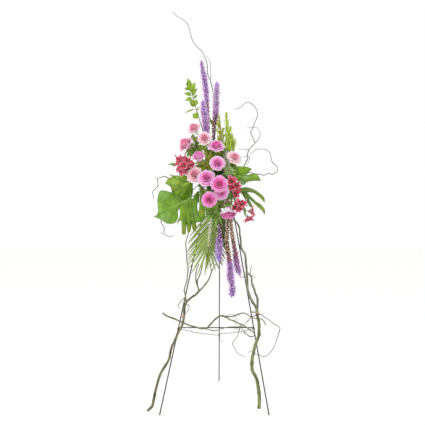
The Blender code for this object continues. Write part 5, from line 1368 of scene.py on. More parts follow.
def makeSplitLeaves():
    look = splitLook
    for name, leaf in splitLeaves.items():
        corners = np.array(leaf["outline"])
        outline = softOutline(corners)
        chain = np.array([leaf["outline"][0]] + leaf["rib"])
        ribs = (chain[:-1], chain[1:])
        veins = tuple(np.array(leaf["veins"]).swapaxes(0, 1))
        base, across, down, fold = leaf["depth"]

        def leaning(spots):
            # depth of the flat blade
            return base + across * (spots[..., 0] - corners[0, 0]) + down * (spots[..., 1] - corners[0, 1])

        def waving(spots):
            # how far it swings to and fro there
            return look["wave"] * np.sin(spots[:, 0] * 0.5 + spots[:, 1] * 0.33)

        every = np.concatenate((outline, leafSpots(outline, veins, ribs)))
        count = len(outline)
        edges = [(index, (index + 1) % count) for index in range(count)]
        made = delaunay_2d_cdt([Vector(spot) for spot in every], edges, [], 1, 1e-6)
        flat = np.array([tuple(spot) for spot in made[0]])
        triangles = np.array([tuple(face) for face in made[2]])
        ribAway = toLines(flat, *ribs)
        veinAway = np.minimum(toLines(flat, *veins), ribAway)
        edgeAway = toLines(flat, outline, np.roll(outline, -1, axis=0))
        seam = np.exp(-((toLines(flat, *np.array(leaf["seams"]).swapaxes(0, 1)) / 0.8) ** 2))
        # the blade puffs up between veins, and its edge rolls back
        depth = leaning(flat) + fold * ribAway
        depth = depth - 0.0030 * (1 - np.exp(-veinAway / 1.3)) * smooth(0.0, 2.0, edgeAway)
        depth = depth + 0.0035 * np.exp(-edgeAway / 1.1) + waving(flat)
        depth = depth + 0.0028 * seam
        dark, lit, sheen, rib = (linear(code) for code in leaf["tints"])
        # painted light and shade: a painted sheen between the veins, broken by broad bands of painted shade,
        # and painted shade along the sunken veins
        wave = 0.5 + 0.5 * np.sin(flat[:, 0] * 0.31 + 1.3 * np.sin(flat[:, 1] * 0.23))
        tint = mixTint(lit, sheen, 0.45 * smooth(0.8, 3.2, veinAway) * (1 - 0.5 * wave))
        tint = mixTint(tint, dark, 0.32 * np.exp(-veinAway / 0.8) + 0.22 * wave)
        # patches of painted light, painted reflection, painted shade and the leaf's own tone
        for x, y, wide, code, share in leaf["patches"]:
            away = np.hypot(flat[:, 0] - x, flat[:, 1] - y)
            tint = mixTint(tint, linear(code), 0.8 * share * np.exp(-((away / wide) ** 2)))
        # darker along the edge; painted shade in the folds between lobes
        tint = mixTint(tint, dark, 0.70 * np.exp(-edgeAway / 0.40))
        tint = mixTint(tint, dark, 0.60 * seam)
        tint = mixTint(tint, rib, 0.26 * np.exp(-((toLines(flat, *veins) / look["sideVein"]) ** 2)))
        fade = 1 - 0.75 * smooth(8.0, 24.0, np.linalg.norm(flat - corners[0], axis=1))
        tint = mixTint(tint, rib, 0.80 * fade * np.exp(-((ribAway / look["vein"]) ** 2)))
        form = np.stack((flat[:, 0] * 0.01, flat[:, 1] * 0.01, veinAway), axis=1)
        points = seen(np.column_stack((flat, depth)))
        blade = shell(points, triangles, look["thickness"], tint, mixTint(tint, sheen, 0.45), form)
        # the rib, as a bar that tapers along the blade's back
        ribPath = smoothPath(np.column_stack((chain, np.zeros(len(chain)))), 1.0)[:, :2]
        ribPlace = seen(np.column_stack((ribPath, leaning(ribPath) + look["wave"] + waving(ribPath))))
        pale = np.clip(np.linalg.norm(ribPath - corners[0], axis=1) / 18, 0, 1)
        ribTint = mixTint(rib, mixTint(lit, rib, 0.2), pale)
        ribTube = tubes(ribPlace, np.linspace(0.0022, 0.0008, len(ribPlace)), 8, ribTint[None])
        near = corners[0] * 0.3 + chain[1] * 0.7
        start = seen((near[0], near[1], leaning(near)))
        ahead = seen((corners[0, 0], corners[0, 1], base)) - start
        leaving = np.array(leaf.get("leaving", unit(ahead) * 0.03))
        stem = stemToFoam(start, leaving, leaf["hole"], look["stem"], look["stemTint"])
        makePiece(name + "_blade", [blade, ribTube, stem], [leafSkin, stemSkin], name)


makeSplitLeaves()
print("split leaves made")


# Palm

palm = {
    "rib": [(212.2, 208.0), (210.8, 218.0), (210.0, 229.0), (208.9, 240.0), (207.8, 251.0)],
    "left": (0.06, 0.99, 13, 41, 7, 36, 25),  # first and last root along the rib, count, angles, lengths
    "right": (0.10, 0.98, 15, 35, 8, 31, 23),
    "width": 0.0108,
    "thickness": 0.0006,
    # dark for painted shade, lit, and a pale midrib streak that is partly the midrib's own colour and partly a
    # painted highlight
    "tints": ("#42640C", "#84A034", "#E4E8B0"),
    "tipLeaflet": 19,
    "bar": (0.0034, 0.0012),  # the rib's radius at both ends
    "barTint": "#C8BC84",
    "stem": 0.0024,
    "stalk": 0.0014,
    "stemTint": "#7C9440",
    "hole": ("bottom", -0.030, 0.006),
    "closedDepth": 0.094,
    "closedWidth": 0.0114,
    "closedTints": ("#3C5018", "#6E7C3C", "#A8B078"),
    # a second, closed frond behind the spikes: base and tip of each leaflet
    "second": [(218.6, 203.0, 222.8, 246.0), (218.8, 204.0, 226.6, 256.0), (219.0, 205.0, 228.0, 240.0),
               (218.8, 205.0, 224.6, 240.0), (218.4, 204.0, 221.4, 235.0), (219.4, 207.0, 229.4, 233.0),
               (218.2, 204.0, 218.6, 229.0), (218.8, 204.0, 224.8, 249.0), (219.2, 206.0, 226.6, 234.0),
               (219.0, 205.0, 223.2, 232.0), (219.0, 205.0, 228.6, 261.0)],
}


def palmDepth(spots):
    # The frond's depth: it comes forward as it hangs, and falls back to both sides of its rib.
    return 0.118 - 0.0006 * (spots[..., 1] - 208.0) + 0.0009 * np.abs(spots[..., 0] - 209.5)


def makePalm():
    rib = smoothPath(filled(palm["rib"], 0.0), 0.8)[:, :2]
    bases, tips = [], []
    for way, side in ((-1, palm["left"]), (1, palm["right"])):
        first, last, count, angleFirst, angleLast, longFirst, longLast = side
        t = np.linspace(0.0, 1.0, count)
        share = first + (last - first) * t**0.85
        at = np.stack([np.interp(share, np.linspace(0, 1, len(rib)), values) for values in rib.T], axis=1)
        angle = np.radians(angleFirst + (angleLast - angleFirst) * t**7 + rng.uniform(-1.2, 1.2, count))
        long_ = (longFirst + (longLast - longFirst) * t**7) * rng.uniform(0.94, 1.03, count)
        run = np.stack((way * np.sin(angle), np.cos(angle)), axis=1)
        bases.append(at)
        tips.append(at + run * long_[:, None])
    base = np.concatenate(bases + [rib[-2:-1]])
    tip = np.concatenate(tips + [rib[-1:] + (0.0, palm["tipLeaflet"])])
    count = len(base)
    depthTip = palmDepth(tip) + rng.uniform(-0.012, 0.006, count)
    start = seen(np.column_stack((base, palmDepth(base))))
    end = seen(np.column_stack((tip, depthTip)))
    width = palm["width"] * rng.uniform(0.9, 1.1, count)
    leaflets = leafBlades(start, end, width, (0.15, -1.0, 0.35), palm["tints"], 14, 5, 0.20, 0.03, 0.55,
                          palm["thickness"], fullness=0.5)
    second = np.array(palm["second"])
    depth = np.full(len(second), palm["closedDepth"])
    root = seen(np.column_stack((second[:, :2], depth)))
    end = seen(np.column_stack((second[:, 2:], depth - 0.008)))
    closed = leafBlades(root, end, palm["closedWidth"], (0.1, -1.0, 0.3), palm["closedTints"], 14, 5, 0.45,
                        0.03, 0.5, palm["thickness"], fullness=0.7)
    mouth, inward = foamHole(*palm["hole"])
    stalks = np.linspace(np.tile(mouth + inward * 0.02, (len(root), 1)), root - up * 0.004, 8, axis=1)
    stalks = tubes(stalks, palm["stalk"], 6, palm["stemTint"], 1)
    spine = seen(np.column_stack((rib, palmDepth(rib))))
    bar = tubes(spine, np.linspace(*palm["bar"], len(spine)), 8, palm["barTint"])
    stem = stemToFoam(spine[0], up * 0.02, palm["hole"], palm["stem"], palm["stemTint"])
    parts = [leaflets, closed, bar, stem, stalks]
    makePiece("palm_frond_leaflets", parts, [bladeSkin, stemSkin], "palm_frond")


makePalm()


# Small greenery

# stem as column, row and depth; leaves as base, tip and width; extra leaves fill the dark gaps
greenery = {
    "ruscus_stem": {
        "path": [(189.5, 86.5, 0.088), (192.8, 96.4, 0.088), (196.9, 111.7, 0.088), (201, 124.4, 0.088),
            (203, 131, 0.09)],
        "leaves": [(189.6, 88.6, 188, 78.2, 4.9), (190.4, 89.8, 184.3, 88.2, 3.7),
            (190.6, 92, 186.2, 82.4, 4.4), (191.1, 92.4, 194.9, 82.2, 4.9), (191.9, 93.8, 197.6, 88.4, 3.4),
            (191.4, 94, 190.4, 84, 4.9), (192.3, 95.4, 184, 93.3, 4.4), (193, 98, 184.8, 100.6, 4.1),
            (192.6, 96.6, 194.4, 88.4, 4.4), (193.3, 99, 197.8, 94.8, 2.9), (195, 105.8, 189.4, 99.8, 6.1),
            (195.4, 106, 196.8, 99, 4.1), (196, 108.4, 183.8, 113.4, 1.6), (196.4, 110.8, 199.4, 107, 1.6),
            (198.9, 118, 192.4, 114, 7.8), (195.6, 106.4, 190, 103.4, 4.4)],
        "radius": 0.0024,
        "tints": ("#4E6C12", "#8CAE20", "#B4C468"),
        "hole": ("top", -0.05, -0.005),
        "bark": "#626A3A",
    },
    "greenery_upper": {
        "path": [(192.6, 139, 0.06), (194.5, 148, 0.07)],
        "leaves": [(193, 141, 192.8, 133.6, 4.4), (193.6, 144, 188.8, 151, 4), (194.4, 147.6, 198.6, 143.4, 4),
            (194.2, 147, 187.6, 156.4, 4.2), (194, 145, 200, 138.6, 3.6), (194.4, 147, 200.6, 149.4, 3.6),
            (193, 143, 197.6, 136, 3.6), (194.4, 147.8, 204.6, 145.6, 3.8), (194.4, 147.6, 192.6, 157, 4),
            (194.2, 146.6, 199.4, 153.6, 3.6), (194, 146, 189, 143.4, 3.2), (194.4, 147.4, 207, 150.6, 3.4),
            (194.4, 148, 205.2, 154.8, 3.4), (193.8, 144.6, 205.6, 140.6, 3), (194.2, 147, 183.6, 154.2, 2.4),
            (194.4, 147.6, 186, 157.6, 3.8), (194.4, 147.6, 189.6, 158.4, 3.8), (194.2, 147, 185.4, 150.8, 3.2),
            (194.4, 147.4, 207.4, 146.6, 3.8), (194.4, 147.8, 208.6, 149.2, 3.8),
            (194.4, 148, 201.4, 156, 3.4)],
        "radius": 0.0018,
        "tints": ("#2E5010", "#8EB03E", "#C6D27E"),
        "hole": ("left", -0.006, 0.078),
    },
    "greenery_middle": {
        "path": [(207.6, 160, 0.052), (208.4, 166, 0.06)],
        "leaves": [(206.6, 161, 205.6, 149.6, 4.6), (207.4, 163, 212, 154, 4), (208, 165, 203.4, 166.4, 4),
            (208.4, 165.6, 212, 172.4, 4.2), (207.4, 162, 200.6, 165.8, 3.4), (208, 164.6, 205, 157.4, 3.2),
            (208.2, 165, 214.4, 169.6, 3.4), (208, 164, 226, 163.4, 3.4), (208.2, 164.6, 228.2, 168.6, 3.4),
            (207.6, 162, 211.4, 150.4, 2.6), (208, 165, 195.4, 166.8, 4.2), (208, 164, 193, 163.4, 3.6),
            (208.2, 165.4, 199.4, 170.4, 4), (208, 164, 190.4, 168, 3), (207.6, 162, 204.6, 151, 3.2),
            (208.2, 165.6, 204, 171.6, 3.6)],
        "radius": 0.0018,
        "tints": ("#36440A", "#ACB436", "#D8DC72"),
        "hole": ("front", -0.01, 0.046),
    },
    "greenery_low": {
        "path": [(216, 212, 0.04), (215, 204, 0.06)],
        "leaves": [(216, 211, 212.8, 222.4, 5), (216, 210, 221.2, 219.6, 5), (215.6, 207, 203.4, 212.6, 4.4),
            (215.4, 206, 224, 207.6, 4.2), (216, 211, 207.6, 220.6, 4.4), (216, 212, 217.4, 224.8, 4),
            (215.4, 205.6, 225.6, 198.6, 3.8), (215.2, 205, 227.6, 203.6, 3.6), (215.6, 207, 221.6, 213.6, 3.8),
            (215.8, 208, 209.4, 214.6, 3.6), (215.8, 209, 204.6, 217.6, 3.4), (216, 212, 222.6, 225.6, 3.4),
            (215.4, 206, 232, 205, 3), (215.8, 208, 202.6, 208, 3.6), (216, 212, 212, 228, 2.8),
            (216, 212, 215.4, 229.4, 2.6), (215.6, 207, 205.4, 203.4, 3.4), (215.4, 205.4, 223, 201.6, 3.6),
            (215.6, 207.4, 203.6, 210, 4.2), (215.8, 208, 206, 212.6, 4), (215.2, 204.6, 233, 197.2, 3.8),
            (215.2, 204.4, 230.4, 194.6, 3.6), (215.2, 204.6, 234.8, 201.4, 3.4), (215, 204, 202.8, 189, 3.8),
            (215, 204, 206.4, 186.8, 4.2), (215, 204, 200.8, 193.8, 3.6), (216, 211, 210.6, 205.4, 4),
            (216, 212, 213.6, 203.6, 4.2), (216, 212, 216.8, 202.4, 4.2), (216, 211, 204.4, 214.8, 4.2),
            (216, 211.6, 206.6, 217.8, 4.2), (216, 210.4, 202.6, 212.4, 4), (215.2, 205, 233, 204.2, 4),
            (215.4, 206, 232.6, 208.4, 3.8)],
        "radius": 0.002,
        "tints": ("#264A0C", "#7EA63A", "#BCCE7A"),
        "hole": ("front", 0.01, -0.072),
    },
}
# Short-stalked leaves that stand in the foam and hide it, for each greenery: face, how many, and whether they
# keep to its upper half (1), to its lower half (-1) or to neither (0)
cover = {
    "greenery_upper": (("top", 30, 0), ("left", 22, 0)),
    "greenery_middle": (("front", 54, 1), ("right", 26, 0)),
    "greenery_low": (("front", 40, -1), ("bottom", 26, 0), ("left", 20, 0), ("right", 32, 0)),
}
coverLeaf = {
    "length": (0.030, 0.052),
    "width": 0.40,  # as a share of the length
    "sink": 0.003,
    "stalk": 0.0009,
    "secondStalk": 0.0008,
    "small": 0.0070,  # width of the small leaves further out
}
greenLook = {"stalk": 0.0008, "forward": (-0.002, 0.010)}


def nearestOn(path, spots):
    # The photo point of a stem that is nearest to each leaf's base.
    path = smoothPath(np.array(path), 0.5)
    away = np.linalg.norm(spots[:, None] - path[None, :, :2], axis=-1)
    return path[away.argmin(axis=1)]


def coverLeaves(name, tints):
    half = foam["size"] / 2
    wide, deep, tall = half
    parts = []
    for face, count, side in cover[name]:
        a, b = rng.uniform(-0.92, 0.92, (2, count))
        b = side * np.abs(b) if side else b
        one = np.ones(count)
        spots, outward = {
            "front": ((a * wide, -deep * one, b * tall), (0, -1, 0)),
            "top": ((a * wide, b * deep * 0.9, tall * one), (0, -0.3, 1)),
            "bottom": ((a * wide, b * deep * 0.9, -tall * one), (0, -0.3, -1)),
            "left": ((-wide * one, a * deep * 0.8, b * tall * 0.9), (-1, -0.3, 0)),
            "right": ((wide * one, a * deep * 0.8, b * tall * 0.9), (1, -0.3, 0)),
        }[face]
        spots, outward = np.stack(spots, axis=1), np.array(outward)
        way = unit(outward + rng.normal(0.0, 0.75, (count, 3)) * (1 - np.abs(outward)))
        way = unit(way + spots / half * np.array((0.5, 0.1, 0.5)))
        long_ = rng.uniform(*coverLeaf["length"], count)[:, None]
        root = inFoam(spots - outward * coverLeaf["sink"])
        way = way @ foamTurn.T
        stalk = root + way * long_ * 0.35
        tip = root + way * long_ * 1.1
        normal = unit(np.array((0.0, -1.0, 0.4)) + rng.normal(0.0, 0.4, (count, 3)))
        shape = (0.45, 0.14, 0.25)
        parts.append(leafBlades(stalk, tip, long_[:, 0] * coverLeaf["width"], normal, tints, 8, 5, *shape))
        stem = np.linspace(root, stalk + way * 0.002, 5, axis=1)
        parts.append(tubes(stem, coverLeaf["stalk"], 5, tints[1], 1))
        # small leaves further out, three at the end of a second stalk
        stalk = stalk + way * rng.uniform(0.004, 0.022, (count, 1))
        for turn in (-0.8, 0.0, 0.8):
            run = unit(way + turn * unit(np.cross(way, normal)) + rng.normal(0.0, 0.2, (count, 3)))
            tip = stalk + run * rng.uniform(0.014, 0.026, (count, 1))
            parts.append(leafBlades(stalk, tip, coverLeaf["small"], normal, tints, 7, 5, *shape, 0.0006))
        stem = np.linspace(root + way * 0.001, stalk + way * 0.002, 5, axis=1)
        parts.append(tubes(stem, coverLeaf["secondStalk"], 5, tints[1], 1))
    return parts


def makeGreenery():
    for name, plant in greenery.items():
        way = seen(smoothPath(np.array(plant["path"]), 0.6))
        leaves = np.array(plant["leaves"])
        at = nearestOn(plant["path"], leaves[:, :2])
        base = seen(at)
        depth = at[:, 2:3] - rng.uniform(*greenLook["forward"], (len(leaves), 1))
        tip = seen(np.concatenate((leaves[:, 2:4], depth), axis=1))
        green = plant["tints"][1]
        radii = np.linspace(plant["radius"] * 0.7, plant["radius"], len(way))
        parts = [tubes(way, radii, 8, plant.get("bark", green), 1)]
        stalk = base + (tip - base) * 0.10
        width = leaves[:, 4] * photo["pixel"]
        parts.append(leafBlades(stalk, tip, width, (0.1, -1.0, 0.3), plant["tints"], 12, 7, 0.42, 0.08, 0.3))
        stems = np.linspace(base, stalk + (tip - base) * 0.02, 5, axis=1)
        parts.append(tubes(stems, greenLook["stalk"], 6, green, 1))
        if name in cover:
            parts += coverLeaves(name, plant["tints"])
        back = unit(way[-1] - way[-2])
        parts.append(stemToFoam(way[-1], back * 0.03, plant["hole"], plant["radius"], green))
        makePiece(name + "_leaves", parts, [bladeSkin, stemSkin], name)


makeGreenery()


star = {
    "spot": (229.2, 171.0, 0.034),
    "facing": (0.10, -0.90, 0.42),
    "leaves": 50,
    "tints": ("#527C2E", "#C6E48C", "#F4FAE2"),
    # dusty strap leaves that stand up behind it: the root, and column and row of each tip
    "root": (229.2, 172.0, 0.052),
    "tips": [(222.8, 153.0), (224.6, 149.6), (226.6, 147.6), (228.6, 150.0), (223.4, 158.6), (225.6, 155.0),
             (227.6, 154.0), (229.2, 157.0), (222.2, 164.0), (226.4, 160.0), (224.0, 162.0)],
    "strapWidth": 0.0125,
    "strapTints": ("#7E9466", "#B2BE9C", "#E4E4D4"),
    "stem": 0.0020,
    "stemTint": "#6B8F3A",
    "hole": ("front", 0.038, 0.048),
}


def makeStarFiller():
    # Narrow pointed leaves in a spiral round one stem, upright in the middle and flatter further out.
    spot = seen(star["spot"])
    place = facing(spot, star["facing"])
    axis = place[0] @ up
    s = np.linspace(0.0, 1.0, star["leaves"])
    turn = np.arange(star["leaves"]) * golden
    pitch = 0.25 + 1.25 * s
    out = np.stack((np.cos(turn), np.sin(turn), 0 * turn), axis=1)
    reach = (0.013 + 0.024 * s)[:, None]
    root = out * 0.002 + up * (0.006 - 0.020 * s)[:, None]
    tip = root + (out * np.sin(pitch)[:, None] + up * np.cos(pitch)[:, None]) * reach
    leaves = leafBlades(placed(root, place), placed(tip, place), 0.0066 + 0.003 * s, axis + 0 * root,
                        star["tints"], 8, 5, 0.45, 0.10, 0.3, 0.0006)
    count = len(star["tips"])
    tips = seen(np.column_stack((star["tips"], rng.uniform(0.050, 0.072, (count, 1)))))
    base = seen(star["root"]) + rng.uniform(-0.004, 0.004, (count, 3))
    straps = leafBlades(base, tips, star["strapWidth"], (0.1, -1.0, 0.2), star["strapTints"], 12, 5, 0.55,
                        0.06, 0.4, 0.0006)
    stalk = tubes(placed(upAxis(0.008, -0.016, 8), place), star["stem"], 8, star["stemTint"], 1)
    stem = stemToFoam(spot - axis * 0.015, axis * -0.03, star["hole"], star["stem"], star["stemTint"])
    parts = [leaves, straps, stalk, stem]
    makePiece("star_filler_leaves", parts, [bladeSkin, stemSkin], "star_filler")


makeStarFiller()
print("greenery made")


# Willow

def barkTube(path, radii, sides, dark, lit, rough, knots):
    # A branch: rings whose radius wavers by a few sines round and along, and swells at its knots.
    count = len(path)
    turn = np.linspace(0.0, 2 * np.pi, sides, endpoint=False)[None]
    along = np.arange(count)[:, None]
    phase = rng.uniform(0.0, 6.28, 4)
    waver = 0.5 * np.sin(3 * turn + 0.35 * along + phase[0])
    waver = waver + 0.35 * np.sin(5 * turn - 0.8 * along + phase[1])
    waver = waver + 0.4 * np.sin(0.9 * along + phase[2]) + 0.3 * rng.normal(size=(count, sides))
    waver = 1 + rough * waver
    swell = np.maximum(0.0, np.sin(along * knots + phase[3])) ** 12
    waver = waver + 0.22 * swell * (1 + 0.5 * np.cos(turn - phase[0]))
    # painted light and shade: bands of the dark and the lit bark colour wind round the branch
    shade = 0.5 + 0.5 * np.sin(2 * turn + 0.25 * along + phase[1]) * np.sin(0.13 * along + phase[2])
    tint = mixTint(linear(dark), linear(lit), shade * rng.uniform(0.8, 1.2, (count, sides)))
    made = tubes(path, radii, sides, (0.0, 0.0, 0.0), 0, waver[None])
    made["tint"] = tint.reshape(-1, 3)
    return made


twigLook = {
    "spacing": 0.004,
    "sides": 9,
    "radii": (0.0026, 0.0017),  # of the twig and of its forks
    "tints": ("#54514A", "#8C897E"),
    "rough": 0.10,
    "knots": 0.30,
    "stem": 0.0022,
    "stemTint": "#7A776A",
}
# depth behind the front feet, hole in the foam, and courses, the twig itself first and then its forks; a spot
# with a third value has its own depth
twigs = {
    "willow_top": (0.175, ("top", -0.012, 0.018), [
        [(213.4, 112), (213.2, 94), (212.2, 87.6), (210.6, 82), (209.7, 79), (208.4, 76.5), (207.5, 72),
         (207.6, 67.9), (206, 60), (204, 55), (201.5, 51), (196.6, 46.4), (192.6, 40.6), (190.4, 33),
         (189, 27.7), (186.8, 23.2), (182.3, 19.2), (177, 16.1), (172.5, 11.4)],
        [(209.9, 79.6), (210.8, 77.1), (210.6, 69), (210.3, 62.8), (209, 59.2), (206.6, 56)]]),
    "willow_right": (0.17, ("right", 0.01, 0.074), [
        [(243.7, 166.4), (245.9, 162.2), (247.9, 158), (247.4, 154.6), (249.1, 149.5), (252.3, 145.9),
         (254.9, 142.8), (253.6, 139.6), (252.3, 136.4), (250.7, 132.1), (252.7, 128.3), (254.3, 123.8),
         (257.4, 116.1), (257.2, 112.3), (255.6, 107.9), (252.1, 104.3), (247.9, 102.2), (244.4, 103.7),
         (240.3, 107.5), (234.9, 109.5)],
        [(254.6, 143.2), (256.5, 141.8), (258.7, 138.6), (260.4, 134.8), (259.3, 131.6), (257.8, 128.3),
         (255.3, 127.3), (249.2, 127.3), (246.7, 128.3)],
        [(249, 149.8), (244, 149.2), (238.3, 149.8)],
        [(247.6, 156.6), (244.2, 156.3, 0.168), (242.1, 157.4, 0.168)],
        [(249.5, 155.5, 0.166), (249.4, 158.6, 0.166), (248.8, 161.9, 0.166), (246, 165.4, 0.168)]]),
    "willow_loop": (0.15, ("right", 0.012, 0.054), [
        [(240, 172), (246, 172.2), (252.3, 173), (256.5, 174.3), (260.6, 174.3), (263.5, 175.3), (268.9, 173.4),
         (272.4, 174.6), (275.3, 172.4), (277.5, 170.8), (276.9, 166.7), (274.6, 164.4), (272.1, 161.6),
         (270.6, 156), (269.8, 152.6), (265.1, 149.3), (260.3, 149.1), (255.8, 149.4), (253.4, 151.7),
         (250.4, 153.9)]]),
    "willow_left": (0.16, ("left", 0.016, 0.074), [
        [(170, 178.5), (166.9, 177.3), (164, 176.3), (160.5, 177.5), (157.6, 178.9), (157.9, 183),
         (157.5, 186.5), (153.6, 190.6), (152.4, 193.4), (153.4, 196.2), (153.5, 198.5)],
        [(157.7, 178.8), (155.6, 178.2), (155.4, 176.3)]]),
    "willow_left_low": (0.15, ("left", 0.016, -0.064), [
        [(166, 214), (161.4, 220), (161.4, 223), (163, 225.8), (164.5, 229.2), (163.8, 233.2), (168.2, 236.4),
         (172, 236.4), (174.2, 234.8)],
        [(163.8, 233.4), (162.4, 234.2), (160.3, 232.6)]]),
}


def makeTwigs():
    look = twigLook
    sides = look["sides"]
    for name, (depth, hole, courses) in twigs.items():
        parts = []
        for index, spots in enumerate(courses):
            path = smoothPath(seen(filled(spots, depth)), look["spacing"])
            radii = look["radii"][min(index, 1)] * np.linspace(1.0, 0.5, len(path))
            parts.append(barkTube(path, radii, sides, *look["tints"], look["rough"], look["knots"]))
        points = parts[0]["points"]
        first, second = points[:sides].mean(axis=0), points[sides:2 * sides].mean(axis=0)
        back = unit(first - second)
        stem = stemToFoam(first - back * 0.003, back * 0.04, hole, look["stem"], look["stemTint"], finish=0)
        makePiece(name + "_twig", parts + [stem], [twigSkin], name)


makeTwigs()

limb = {
    "spacing": 0.0045,
    "knots": 0.19,
    "young": 0.0026,  # up to this radius a limb has young bark
    "youngTints": ("#50463E", "#8E8276"),
    "round": 0.005,  # from here on it has more sides and rougher bark
    "sawn": 0.006,  # from here on its foot shows the pale wood of a saw cut
    "wood": "#CDBB8A",
    "trunk": 0.008,  # from here on it has the trunk's bark
    "trunkTints": ("#444628", "#969C62"),
}
